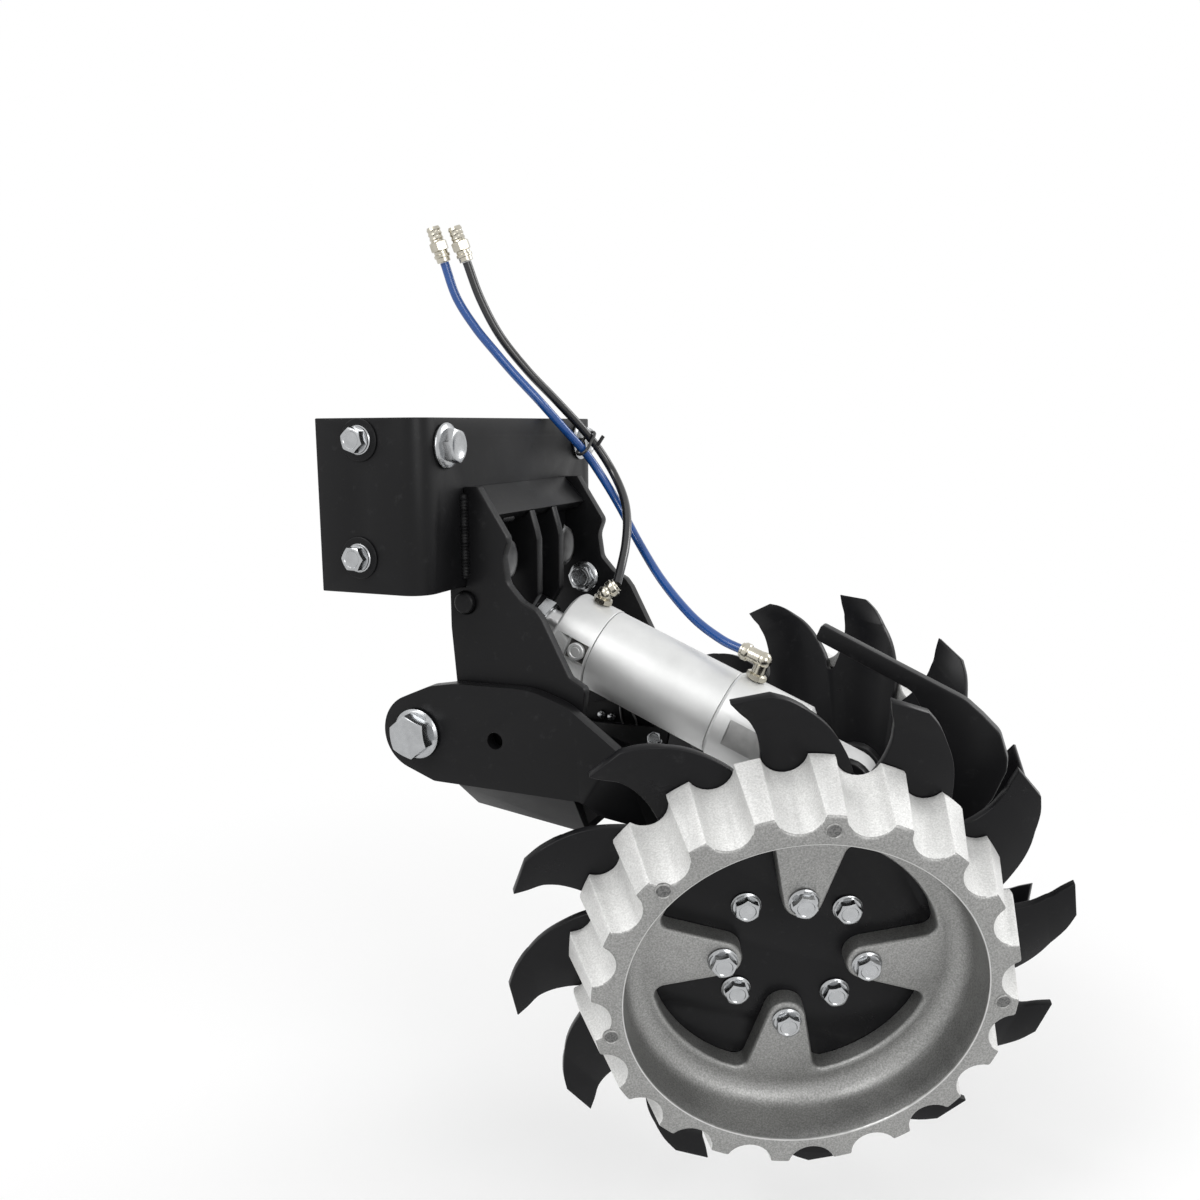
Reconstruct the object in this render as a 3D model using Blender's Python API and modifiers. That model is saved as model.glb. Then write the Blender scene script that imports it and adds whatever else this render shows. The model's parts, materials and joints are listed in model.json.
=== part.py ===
# Row cleaner: two toothed wheels on a swinging arm, raised and pressed down by an air cylinder.
# Units are metres. +X is the direction of travel, +Z is up, -Y is the near side.
# The origin is the middle of the flat rear face of the mounting bracket's cross plate.

import math

import bmesh
import bpy
from mathutils import Matrix, Vector

for old in list(bpy.data.objects):
    bpy.data.objects.remove(old, do_unlink=True)

PARTS = bpy.data.collections.new("row_cleaner")
CUTTERS = bpy.data.collections.new("row_cleaner_cutters")
bpy.context.scene.collection.children.link(PARTS)
bpy.context.scene.collection.children.link(CUTTERS)

# %% Sizes that can be set one by one

GAP = 0.0003                 # space kept between two pieces that seat on each other

BRACKET_WIDTH = 0.254        # mounting bracket, over the side flanges
BRACKET_HEIGHT = 0.106
BRACKET_PLATE = 0.010
BRACKET_DEPTH = 0.064        # how far the side flanges reach behind the cross plate
BRACKET_BEND = 0.015         # outer radius of the bent corners

CHEEK_PLATE = 0.008          # side plates that carry the pivot
CHEEK_OUTSIDE = 0.079        # outer face of a side plate, from the middle plane
CHEEK_EYE = 0.025            # radius of a side plate round the pivot

EAR_PLATE = 0.008            # ears that carry the cylinder's rod pin
EAR_INSIDE = 0.013
EAR_EYE = 0.020
GUSSET_PLATE = 0.008

PIVOT = Vector((-0.022, 0.0, -0.150))
ROD_PIN = Vector((0.002, 0.0, -0.076))
CYLINDER_PIN = Vector((0.242, 0.0, -0.1755))

PIVOT_BOLT_D = 0.019
PIVOT_HEAD_AF = 0.0286
PIVOT_TUBE_D = 0.038
BUSHING_WALL = 0.0035
PIN_D = 0.016
PIN_PLAY = 0.0003            # radial play of a pin in its hole

ARM_PLATE = 0.009
ARM_OUTSIDE = 0.091          # outer face of an arm plate at the pivot
ARM_NARROW = 0.023           # inner face of an arm plate beside the block
ARM_EYE = 0.0255
ARM_FRONT_EYE = 0.032
BEND_START = 0.113           # where the arm plates start to draw together, at mid height
BEND_END = 0.034             # where they run straight again, behind the spindle's seat
BEND_LEAN = math.radians(24) # how far the two folds lean forward from upright
BELLY_PLATE = 0.006

BLOCK_HALF = 0.0127          # block between the arm plates
LUG_EYE = 0.018              # plates that hold the cylinder's lower pin

TOE = math.radians(25.0)
CAMBER = math.radians(11.5)
WHEEL_OFFSET = 0.086         # wheel centre from the middle plane, on the disc's outer face
NEAR_AXLE = Vector((0.226, -WHEEL_OFFSET, -0.253))
FAR_AXLE = Vector((0.202, WHEEL_OFFSET, -0.239))

TEETH = 12
DISC_RADIUS = 0.1655
DISC_THICKNESS = 0.005
TIP_BEND = math.radians(11.0)
TIP_LENGTH = 0.0155          # how much of a tooth is folded over
FLANGE_BOLT_RADIUS = 0.0415
FLANGE_BOLT_D = 0.010
FLANGE_BOLT_AF = 0.0143
BOLT_HOLE_PLAY = 0.0005

SCALLOPS = 20
FLOATER_FRONT_RADIUS = 0.117
FLOATER_FLARE = 0.012        # how much wider the floater is at its back
FLOATER_DEPTH = 0.044        # front face, from the disc's outer face
SCALLOP_RADIUS = 0.0135
SCALLOP_CENTRE = 0.0035      # centre of a scallop outside the cone
FLOATER_RIM = 0.005          # front rim between the scallops and the bowl
BOWL_FILLET = 0.014
FLOOR_THICKNESS = 0.012
FLOOR_LEDGE = 0.005          # flat floor between the bowl's fillet and the openings
OPENING_CORNER = 0.009
SPOKE_ROOT = 0.043           # width of a spoke at the floor ring
SPOKE_END_RADIUS = 0.0115

HUB_RADIUS = 0.026
HUB_FLANGE_RADIUS = 0.0525
HUB_FLANGE = 0.007
HUB_LENGTH = 0.038           # back of the hub, from the disc's outer face
BEARING_RADIUS = 0.018
BEARING_WIDTH = 0.017
JOURNAL_RADIUS = 0.010
SPINDLE_RADIUS = 0.020
SPINDLE_BASE = 0.046         # where the thick part starts, from the disc's outer face

BARREL_RADIUS = 0.029
BARREL_WALL = 0.003
ROD_RADIUS = 0.0095
GLAND_PLAY = 0.0018          # the rod's play in the gland, and the piston's in the barrel
HEAD_START = 0.046           # along the cylinder from the rod pin, with the arm level
BARREL_START = 0.076
BARREL_END = 0.169
CYLINDER_END = 0.223
HEAD_CAP_RADIUS = 0.0295
END_CAP_RADIUS = 0.0305
EYE_RADIUS = 0.016
EYE_HALF = 0.0122
PISTON_START = 0.108
PISTON_LENGTH = 0.018
FITTING_RADIUS = 0.0062

GUARD_PLATE = 0.010

AIR_LINE_D = 0.00635
UNION_RADIUS = 0.0058
UNION_LENGTH = 0.024

# %% Materials

BLACK = ((0.012, 0.012, 0.013), 0.38, 0.0)
CASTING = ((0.62, 0.62, 0.60), 0.42, 1.0)
SATIN = ((0.56, 0.57, 0.58), 0.30, 1.0)
ZINC = ((0.66, 0.67, 0.70), 0.28, 1.0)
CHROME = ((0.80, 0.81, 0.83), 0.08, 1.0)
BRASS = ((0.70, 0.60, 0.38), 0.30, 1.0)
DARK = ((0.05, 0.05, 0.055), 0.50, 0.6)
BLUE_TUBE = ((0.01, 0.09, 0.55), 0.30, 0.0)
BLACK_TUBE = ((0.015, 0.015, 0.016), 0.35, 0.0)


def give_material(ob, look):
    colour, roughness, metallic = look
    material = bpy.data.materials.new(ob.name)
    material.use_nodes = True
    shader = material.node_tree.nodes["Principled BSDF"]
    shader.inputs["Base Color"].default_value = (*colour, 1.0)
    shader.inputs["Roughness"].default_value = roughness
    shader.inputs["Metallic"].default_value = metallic
    material.diffuse_color = (*colour, 1.0)
    ob.data.materials.clear()
    ob.data.materials.append(material)


# %% Frames and joint axes


def axes(origin, x, y, z):
    frame = Matrix((x, y, z)).transposed().to_4x4()
    frame.translation = origin
    return frame


def lateral(y=0.0, along=None):
    """A frame for outlines drawn in the XZ plane: local Z points to the near side."""
    along = along or Vector((1, 0, 0))
    out = Vector((0, -1, 0))
    return axes(Vector((0, y, 0)), along, out.cross(along), out)


def empty(name, frame):
    ob = bpy.data.objects.new(name, None)
    ob.empty_display_size = 0.03
    ob.matrix_basis = frame
    PARTS.objects.link(ob)
    return ob


def wheel_frame(centre, side):
    """Local Z is the wheel's outward normal, local X runs forward in its plane."""
    forward = Vector((math.cos(TOE), side * -math.sin(TOE), 0))
    normal = Vector((math.sin(TOE) * math.cos(CAMBER),
                     side * math.cos(TOE) * math.cos(CAMBER),
                     -math.sin(CAMBER)))
    return axes(centre, forward, normal.cross(forward), normal)


stroke = CYLINDER_PIN - ROD_PIN
ALONG = stroke.normalized()
ACROSS = Vector((0, -1, 0)).cross(ALONG)


def cylinder_frame(distance):
    """On the cylinder's axis, local Z towards the lower pin, local X on its upper side."""
    return axes(ROD_PIN + ALONG * distance, ACROSS, ALONG.cross(ACROSS), ALONG)


NEAR = wheel_frame(NEAR_AXLE, -1)
FAR = wheel_frame(FAR_AXLE, 1)

ROOT = empty("mount_axis", Matrix.Identity(4))
ARM = empty("arm_axis", Matrix.Translation(PIVOT))
NEAR_SPIN = empty("near_wheel_axis", NEAR)
FAR_SPIN = empty("far_wheel_axis", FAR)
ROD = empty("rod_axis", Matrix.Translation(ROD_PIN))
BARREL = empty("barrel_axis", Matrix.Translation(CYLINDER_PIN))

# %% Tools for outlines, turned shapes and cuts


def arc(centre, radius, start, end, count):
    steps = [start + (end - start) * i / count for i in range(count + 1)]
    return [(centre[0] + radius * math.cos(math.radians(t)),
             centre[1] + radius * math.sin(math.radians(t))) for t in steps]


def circle(centre, radius, count=12):
    return arc(centre, radius, 0, 360, count)[:-1]


def round_hole(centre, radius, count=12):
    """Outline of a hole whose flats, and not its corners, lie at the radius."""
    return circle(centre, radius / math.cos(math.pi / count), count)


def rounded(points, count=3):
    """Closed outline. A point with a third number gets its corner rounded to that radius."""
    outline = []
    for i, point in enumerate(points):
        here = Vector(point[:2])
        if len(point) == 2:
            outline.append(tuple(here))
            continue
        before = (Vector(points[i - 1][:2]) - here)
        after = (Vector(points[(i + 1) % len(points)][:2]) - here)
        half = before.angle(after) / 2
        back = point[2] / math.tan(half)
        back = min(back, before.length * 0.48, after.length * 0.48)
        radius = back * math.tan(half)
        middle = here + (before.normalized() + after.normalized()).normalized() * radius / math.sin(half)
        first = here + before.normalized() * back - middle
        last = here + after.normalized() * back - middle
        sweep = first.angle_signed(last)
        for step in range(count + 1):
            turn = Matrix.Rotation(-sweep * step / count, 2)
            outline.append(tuple(middle + turn @ first))
    return outline


def round_end(centre, radius, before, after, count=9):
    """Points round an eye, from the tangent of the point before to that of the point after."""
    centre = Vector(centre)
    ends = []
    for point, side in ((before, -1), (after, 1)):
        away = Vector(point) - centre
        lean = math.acos(min(1.0, radius / away.length))
        ends.append(math.atan2(away.y, away.x) + side * lean)
    start, end = ends
    while end > start:
        end -= 2 * math.pi
    while end < start - 2 * math.pi:
        end += 2 * math.pi
    return arc(centre, radius, math.degrees(start), math.degrees(end), count)


def evaluated(ob):
    bpy.context.view_layer.update()
    source = ob.evaluated_get(bpy.context.evaluated_depsgraph_get())
    mesh = bpy.data.meshes.new_from_object(source)
    work = bmesh.new()
    work.from_mesh(mesh)
    bmesh.ops.remove_doubles(work, verts=work.verts, dist=1e-6)
    bmesh.ops.recalc_face_normals(work, faces=work.faces)
    work.to_mesh(mesh)
    work.free()
    return mesh


def flat(loops, thickness):
    """Mesh of a plate from outlines; an outline inside another is a hole."""
    curve = bpy.data.curves.new("outline", "CURVE")
    curve.dimensions = "2D"
    curve.fill_mode = "BOTH"
    curve.extrude = thickness / 2
    for loop in loops:
        spline = curve.splines.new("POLY")
        spline.points.add(len(loop) - 1)
        for point, place in zip(spline.points, loop):
            point.co = (place[0], place[1], 0, 1)
        spline.use_cyclic_u = True
    ob = bpy.data.objects.new("outline", curve)
    PARTS.objects.link(ob)
    mesh = evaluated(ob)
    bpy.data.objects.remove(ob)
    bpy.data.curves.remove(curve)
    return mesh


def turned_mesh(profile, steps=24):
    """Mesh of a profile (radius, height) turned round Z, drawn down its outer side."""
    work = bmesh.new()
    verts = [work.verts.new((r, 0, z)) for r, z in profile]
    closed = all(r > 1e-6 for r, _ in profile)
    for i in range(len(verts) - (0 if closed else 1)):
        work.edges.new((verts[i], verts[(i + 1) % len(verts)]))
    mesh = bpy.data.meshes.new("profile")
    work.to_mesh(mesh)
    work.free()
    ob = bpy.data.objects.new("profile", mesh)
    PARTS.objects.link(ob)
    screw = ob.modifiers.new("turn", "SCREW")
    screw.steps = screw.render_steps = steps
    screw.use_merge_vertices = True
    screw.merge_threshold = 1e-5
    done = evaluated(ob)
    bpy.data.objects.remove(ob)
    return done


def hexagon(across_flats):
    return circle((0, 0), across_flats / math.sqrt(3), 6)


def moved(mesh, frame):
    mesh.transform(frame)
    return mesh


def together(meshes):
    work = bmesh.new()
    for mesh in meshes:
        work.from_mesh(mesh)
    done = bpy.data.meshes.new("group")
    work.to_mesh(done)
    work.free()
    return done


def add(name, mesh, frame, parent, look):
    ob = bpy.data.objects.new(name, mesh)
    mesh.name = name
    PARTS.objects.link(ob)
    ob.parent = parent
    ob.matrix_parent_inverse = parent.matrix_basis.inverted()
    ob.matrix_basis = frame
    give_material(ob, look)
    return ob


def change(ob, kind, mesh, frame, name="tool"):
    """Cut a mesh from an object, or join it on, with a Boolean modifier."""
    cutter = bpy.data.objects.new(ob.name + "_" + name, mesh)
    cutter.matrix_basis = frame
    cutter.hide_render = True
    cutter.display_type = "WIRE"
    CUTTERS.objects.link(cutter)
    boolean = ob.modifiers.new(name, "BOOLEAN")
    boolean.operation = kind
    boolean.object = cutter
    return ob


def cut(ob, mesh, frame, name="cut"):
    return change(ob, "DIFFERENCE", mesh, frame, name)


def join(ob, mesh, frame, name="join"):
    return change(ob, "UNION", mesh, frame, name)


def plate(name, loops, inner, outer, parent, look, along=None):
    """A plate in the XZ plane between two distances from the middle plane (+ is far)."""
    frame = lateral((inner + outer) / 2, along)
    return add(name, flat(loops, abs(outer - inner)), frame, parent, look)


def fastener(head_af, head_height, washer_radius, washer, shank_radius, length, steps=12):
    """Hexagon head on a flange, seat at local z = 0, shank towards -Z."""
    body = turned_mesh([(0, washer), (washer_radius, washer), (washer_radius, 0),
                        (shank_radius, 0), (shank_radius, -length), (0, -length)], steps)
    head = flat([hexagon(head_af)], head_height - washer / 2)
    head.transform(Matrix.Translation((0, 0, (head_height + washer / 2) / 2)))
    ob = bpy.data.objects.new("fastener", body)
    top = bpy.data.objects.new("fastener_head", head)
    PARTS.objects.link(ob)
    PARTS.objects.link(top)
    union = ob.modifiers.new("head", "BOOLEAN")
    union.operation = "UNION"
    union.object = top
    done = evaluated(ob)
    bpy.data.objects.remove(ob)
    bpy.data.objects.remove(top)
    return done


def plain_bolt(head_af, head_height, shank_radius, length):
    """Hexagon head without a flange, seat at local z = 0, shank towards -Z."""
    work = bmesh.new()
    count = 12
    side = head_af / 2 / math.cos(math.radians(30))
    rows = []
    for z, radius, sharp in ((-length, shank_radius, False), (0, shank_radius, False),
                             (0, side, True), (head_height, side, True)):
        row = []
        for i in range(count):
            reach = radius * (math.cos(math.radians(30)) if sharp and i % 2 else 1.0)
            turn = 2 * math.pi * i / count
            row.append(work.verts.new((reach * math.cos(turn), reach * math.sin(turn), z)))
        rows.append(row)
    for low_row, high_row in zip(rows, rows[1:]):
        for i in range(count):
            j = (i + 1) % count
            work.faces.new((low_row[i], low_row[j], high_row[j], high_row[i]))
    work.faces.new(rows[0])
    work.faces.new(rows[-1])
    bmesh.ops.recalc_face_normals(work, faces=work.faces)
    mesh = bpy.data.meshes.new("bolt")
    work.to_mesh(mesh)
    work.free()
    return mesh


def hex_nut(across_flats, height, hole_radius):
    """Nut round a shank, seat at local z = 0."""
    nut = flat([hexagon(across_flats), round_hole((0, 0), hole_radius, 16)], height)
    nut.transform(Matrix.Translation((0, 0, height / 2)))
    return nut


def toward(point, direction, spin=0.0):
    """Frame at a point with local Z along a direction."""
    turn = Vector(direction).to_track_quat("Z", "Y").to_matrix().to_4x4()
    return Matrix.Translation(point) @ turn @ Matrix.Rotation(spin, 4, "Z")


def smooth(points, spacing):
    """Evenly spaced points on a smooth curve through the given ones."""
    points = [Vector(p) for p in points]
    ends = [points[0] * 2 - points[1]] + points + [points[-1] * 2 - points[-2]]
    fine = []
    for i in range(1, len(ends) - 2):
        a, b, c, d = ends[i - 1:i + 3]
        for step in range(24):
            t = step / 24
            fine.append(0.5 * (2 * b + (c - a) * t + (2 * a - 5 * b + 4 * c - d) * t * t
                               + (3 * b - a - 3 * c + d) * t ** 3))
    fine.append(points[-1])
    total = sum((q - p).length for p, q in zip(fine, fine[1:]))
    count = max(2, round(total / spacing))
    out, travelled, goal = [fine[0]], 0.0, total / count
    for p, q in zip(fine, fine[1:]):
        step = (q - p).length
        while travelled + step >= goal * len(out) and len(out) < count:
            out.append(p.lerp(q, (goal * len(out) - travelled) / step))
        travelled += step
    out.append(fine[-1])
    return out


def tube(name, points, radius, parent, look, closed=False):
    curve = bpy.data.curves.new(name, "CURVE")
    curve.dimensions = "3D"
    curve.bevel_depth = radius
    curve.bevel_resolution = 2
    curve.use_fill_caps = not closed
    spline = curve.splines.new("POLY")
    spline.points.add(len(points) - 1)
    for point, place in zip(spline.points, points):
        point.co = (*place, 1)
    spline.use_cyclic_u = closed
    ob = bpy.data.objects.new(name, curve)
    PARTS.objects.link(ob)
    mesh = evaluated(ob)
    bpy.data.objects.remove(ob)
    bpy.data.curves.remove(curve)
    return add(name, mesh, Matrix.Identity(4), parent, look)


# %% Mounting bracket and its bolts

half_width = BRACKET_WIDTH / 2
half_height = BRACKET_HEIGHT / 2
inner_bend = BRACKET_BEND - BRACKET_PLATE
channel = rounded([
    (-BRACKET_DEPTH, -half_width), (BRACKET_PLATE, -half_width, BRACKET_BEND),
    (BRACKET_PLATE, half_width, BRACKET_BEND), (-BRACKET_DEPTH, half_width),
    (-BRACKET_DEPTH, half_width - BRACKET_PLATE), (0, half_width - BRACKET_PLATE, inner_bend),
    (0, -half_width + BRACKET_PLATE, inner_bend), (-BRACKET_DEPTH, -half_width + BRACKET_PLATE)], 6)
bracket = add("mounting_bracket", flat([channel], BRACKET_HEIGHT), Matrix.Identity(4), ROOT, BLACK)

FACE_BOLT_D = 0.0127
FACE_BOLT_Y = BRACKET_WIDTH / 2 - 0.029
FACE_BOLT_Z = 0.036
FLANGE_BOLTS = {"upper": (-0.032, 0.040), "lower": (-0.035, -0.031)}
SHORT_BOLT = BRACKET_PLATE + 0.012

hole = flat([round_hole((0, 0), FACE_BOLT_D / 2 + BOLT_HOLE_PLAY)], BRACKET_PLATE * 3)
face_bolt = fastener(0.019, 0.0095, 0.0135, 0.0022, FACE_BOLT_D / 2, SHORT_BOLT)
for name, y in (("near", -FACE_BOLT_Y), ("far", FACE_BOLT_Y)):
    seat = toward((BRACKET_PLATE + GAP, y, FACE_BOLT_Z), (1, 0, 0), 0.3)
    cut(bracket, hole, toward((BRACKET_PLATE / 2, y, FACE_BOLT_Z), (1, 0, 0)), "hole_" + name)
    add("face_bolt_" + name, face_bolt.copy(), seat, ROOT, ZINC)
for name, (x, z) in FLANGE_BOLTS.items():
    seat = toward((x, -half_width - GAP, z), (0, -1, 0), 0.2)
    cut(bracket, hole, toward((x, -half_width + BRACKET_PLATE / 2, z), (0, -1, 0)), "hole_" + name)
    add("flange_bolt_" + name, face_bolt.copy(), seat, ROOT, ZINC)

# %% Side plates, gusset, ears and their bolts

front_face = BRACKET_PLATE + GAP
under = -half_height - GAP
PLATE_BOLT = (0.045, -0.039)  # bolts through the cross plate, between each ear and side plate
PLATE_BOLT_D = 0.016
STUD = (0.0100, -0.0635)      # round bar through the near side plate
STUD_RADIUS = 0.0070
STUD_REACH = 0.004
SIDE_BOLT = (0.0255, -0.0655)  # bolt on the inside of the far side plate
SIDE_BOLT_D = 0.012

pivot_xz = (PIVOT.x, PIVOT.z)
rod_xz = (ROD_PIN.x, ROD_PIN.z)
lower_xz = (CYLINDER_PIN.x, CYLINDER_PIN.z)

nose = [(0.0203, 0.0102), (0.028, -0.002), (0.041, -0.022, 0.006), (0.037, -0.033, 0.012),
        (0.0395, -0.050, 0.010), (0.049, -0.0606, 0.010), (0.059, -0.0657, 0.008),
        (0.0637, -0.0717, 0.006), (0.082, -0.107, 0.006), (0.093, -0.113, 0.004),
        (0.090, -0.135, 0.020), (0.060, -0.158, 0.030)]
heel = [(0.002, -0.122), (-0.0015, -0.080), (-0.0015, under), (front_face, under)]
cheek = [(front_face, 0.010)] + nose
cheek += round_end(pivot_xz, CHEEK_EYE, nose[-1][:2], heel[0]) + heel
cheek = rounded(cheek)
bolt_clear = PIVOT_BOLT_D / 2 + BOLT_HOLE_PLAY
pivot_hole = round_hole(pivot_xz, bolt_clear, 20)
cheek_inside = CHEEK_OUTSIDE - CHEEK_PLATE
for name, side, other in (("near", -1, round_hole(STUD, STUD_RADIUS + PIN_PLAY, 16)),
                          ("far", 1, round_hole(SIDE_BOLT, SIDE_BOLT_D / 2 + BOLT_HOLE_PLAY))):
    plate("side_plate_" + name, [cheek, pivot_hole, other], side * cheek_inside,
          side * CHEEK_OUTSIDE, ROOT, BLACK)

between = cheek_inside - GAP
top, tip = Vector((0.011, 0.0092)), Vector((0.0268, -0.0080))
slope = (tip - top).normalized()
drop = Vector((slope.y, -slope.x))
low = tip + drop * GUSSET_PLATE
reach = low - slope * ((low.x - front_face) / slope.x)
gusset = [(front_face, 0.010), tuple(top), tuple(tip), tuple(low), (front_face, reach.y)]
plate("top_gusset", [gusset], -between, between, ROOT, BLACK)

notch = [low + slope * GAP + drop * GAP, tip + slope * GAP]      # the ears reach round the gusset
under_gusset = reach + drop * GAP - slope * (drop.x * GAP / slope.x)
brow = [(front_face, under_gusset.y), tuple(notch[0]), tuple(notch[1]), (0.0310, -0.0215, 0.003),
        (0.0325, -0.028, 0.004), (0.0322, -0.066, 0.006)]
heel = [(-0.018, -0.070, 0.004), (-0.012, under, 0.002), (front_face, under)]
ear = rounded(brow + round_end(rod_xz, EAR_EYE, brow[-1][:2], heel[0][:2]) + heel)
ear_outside = EAR_INSIDE + EAR_PLATE
for name, side in (("near", -1), ("far", 1)):
    plate("rod_ear_" + name, [ear, round_hole(rod_xz, PIN_D / 2 + PIN_PLAY)],
          side * EAR_INSIDE, side * ear_outside, ROOT, BLACK)

hole = flat([round_hole((0, 0), PLATE_BOLT_D / 2 + BOLT_HOLE_PLAY)], BRACKET_PLATE * 3)
plate_bolt = fastener(0.0262, 0.0133, 0.0152, 0.0022, PLATE_BOLT_D / 2, SHORT_BOLT)
for name, side in (("near", -1), ("far", 1)):
    y, z = side * PLATE_BOLT[0], PLATE_BOLT[1]
    cut(bracket, hole, toward((BRACKET_PLATE / 2, y, z), (1, 0, 0)), "plate_hole_" + name)
    add("plate_bolt_" + name, plate_bolt.copy(), toward((front_face, y, z), (1, 0, 0), 0.1),
        ROOT, ZINC)

stud_end = CHEEK_PLATE + GAP + STUD_REACH
stud = turned_mesh([(0, 0.005), (STUD_RADIUS + 0.003, 0.005), (STUD_RADIUS + 0.003, 0),
                    (STUD_RADIUS, 0), (STUD_RADIUS, -stud_end + 0.0012),
                    (STUD_RADIUS - 0.0012, -stud_end), (0, -stud_end)], 16)
add("stud_near", stud, toward((STUD[0], -cheek_inside + GAP, STUD[1]), (0, 1, 0)), ROOT, BLACK)
side_bolt = fastener(0.0175, 0.0085, 0.0118, 0.002, SIDE_BOLT_D / 2, CHEEK_PLATE + GAP + 0.004)
add("stud_far", side_bolt, toward((SIDE_BOLT[0], cheek_inside - GAP, SIDE_BOLT[1]), (0, -1, 0), 0.4),
    ROOT, ZINC)

# %% Pivot and rod pin

pivot_head = Vector((PIVOT.x, -ARM_OUTSIDE - 3 * GAP, PIVOT.z))
nut_seat = Vector((PIVOT.x, ARM_OUTSIDE + 3 * GAP, PIVOT.z))
pivot_length = 2 * (ARM_OUTSIDE + 3 * GAP) + 0.020
add("pivot_bolt", fastener(PIVOT_HEAD_AF, 0.0125, 0.0185, 0.0026, PIVOT_BOLT_D / 2, pivot_length, 16),
    toward(pivot_head, (0, -1, 0), 0.15), ROOT, ZINC)
add("pivot_nut", hex_nut(PIVOT_HEAD_AF, 0.0165, PIVOT_BOLT_D / 2 + PIN_PLAY),
    toward(nut_seat, (0, 1, 0), 0.35), ROOT, ZINC)
tube_half = cheek_inside - GAP
bore = PIVOT_BOLT_D / 2 + BOLT_HOLE_PLAY
add("pivot_tube", turned_mesh([(bore, tube_half), (PIVOT_TUBE_D / 2, tube_half),
                               (PIVOT_TUBE_D / 2, -tube_half), (bore, -tube_half)]),
    toward(PIVOT, (0, 1, 0)), ROOT, BLACK)

pin_seat = Vector((ROD_PIN.x, -ear_outside - GAP, ROD_PIN.z))
add("rod_pin", fastener(0.024, 0.010, 0.013, 0.002, PIN_D / 2, 2 * ear_outside + 0.016),
    toward(pin_seat, (0, -1, 0), 0.2), ROOT, ZINC)
add("rod_pin_nut", hex_nut(0.024, 0.0125, PIN_D / 2 + PIN_PLAY),
    toward((ROD_PIN.x, ear_outside + GAP, ROD_PIN.z), (0, 1, 0), 0.1), ROOT, ZINC)

# %% Arm plates: a flat outline, folded in plan so that the two draw together

bushing_radius = bore + BUSHING_WALL
rear_middle = ARM_OUTSIDE - ARM_PLATE / 2
front_middle = ARM_NARROW + ARM_PLATE / 2
BELLY_FOLD = -0.1812          # height of the arm plates' lower edge over the belly plate


def arm_outline(axle_end):
    end = Vector((axle_end.x, axle_end.z))
    top_edge = [(-0.012, -0.1178, 0.020), (0.006, -0.1145, 0.030), (0.060, -0.1135, 0.060),
                (0.085, -0.1215, 0.040), (0.119, -0.1460, 0.040),
                (end.x - 0.040, end.y + 0.050, 0.030)]
    bottom = [(end.x - 0.034, end.y - 0.021, 0.020), (0.135, -0.203, 0.020),
              (0.094, BELLY_FOLD, 0.006), (-0.0105, BELLY_FOLD, 0.008)]
    outline = top_edge + round_end(end, ARM_FRONT_EYE, top_edge[-1][:2], bottom[0][:2], 12)
    outline += bottom + round_end(pivot_xz, ARM_EYE, bottom[-1][:2], top_edge[0][:2])
    return rounded(outline)


def spindle_end(frame):
    """Where a wheel's axis meets the outer face of the narrow part of its arm plate."""
    centre, normal = frame.translation, frame.col[2].to_3d()
    depth = (abs(centre.y) - ARM_NARROW - ARM_PLATE) / abs(normal.y)
    return centre - normal * depth, depth


FOLD_HEIGHT = -0.175          # height at which the folds' places are measured


def folded_plate(name, outline, holes, side, start, axle_end):
    mesh = flat([outline] + holes, 0)
    work = bmesh.new()
    work.from_mesh(mesh)
    ahead = Vector((1, -math.tan(BEND_LEAN), 0))
    level = Vector((0, FOLD_HEIGHT, 0))
    end = ahead.dot(Vector((axle_end.x - BEND_END, axle_end.z, 0)) - level)
    for distance in (start, end):
        everything = work.verts[:] + work.edges[:] + work.faces[:]
        bmesh.ops.bisect_plane(work, geom=everything, dist=1e-7,
                               plane_co=level + Vector((distance, 0, 0)), plane_no=ahead)
    for vert in work.verts:
        share = (ahead.dot(vert.co - level) - start) / (end - start)
        share = min(1.0, max(0.0, share))
        vert.co.z = -side * (rear_middle + (front_middle - rear_middle) * share)
    bmesh.ops.recalc_face_normals(work, faces=work.faces)
    work.to_mesh(mesh)
    work.free()
    ob = add(name, mesh, lateral(), ARM, BLACK)
    solid = ob.modifiers.new("thickness", "SOLIDIFY")
    solid.thickness = ARM_PLATE
    solid.offset = 0
    return ob


ARM_HOLE = (0.0355, -0.149)
for name, frame, side in (("near", NEAR, -1), ("far", FAR, 1)):
    end, depth = spindle_end(frame)
    holes = [round_hole(pivot_xz, bushing_radius + GAP, 24), round_hole(ARM_HOLE, 0.0055)]
    folded_plate("arm_plate_" + name, arm_outline(end), holes, side, BEND_START, end)
    ring = turned_mesh([(bore, ARM_OUTSIDE + GAP), (bushing_radius, ARM_OUTSIDE + GAP),
                        (bushing_radius, CHEEK_OUTSIDE + GAP), (bore, CHEEK_OUTSIDE + GAP)], 24)
    add("pivot_bushing_" + name, ring, toward(PIVOT, (0, side, 0)), ARM, BRASS)

    journal_end = BEARING_WIDTH - 0.0005
    length = depth + SPINDLE_RADIUS
    profile = [(0, -journal_end), (JOURNAL_RADIUS, -journal_end), (JOURNAL_RADIUS, -SPINDLE_BASE),
               (SPINDLE_RADIUS, -SPINDLE_BASE), (SPINDLE_RADIUS, -length), (0, -length)]
    spindle = add("spindle_" + name, turned_mesh(profile), frame, ARM, BLACK)
    face = ARM_NARROW + ARM_PLATE + GAP
    beside = flat([rounded([(-0.1, -0.1), (0.1, -0.1), (0.1, 0.1), (-0.1, 0.1)])], 0.1)
    cut(spindle, beside, lateral(side * (face - 0.05)) @ Matrix.Translation((end.x, end.z, 0)), "seat")

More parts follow.
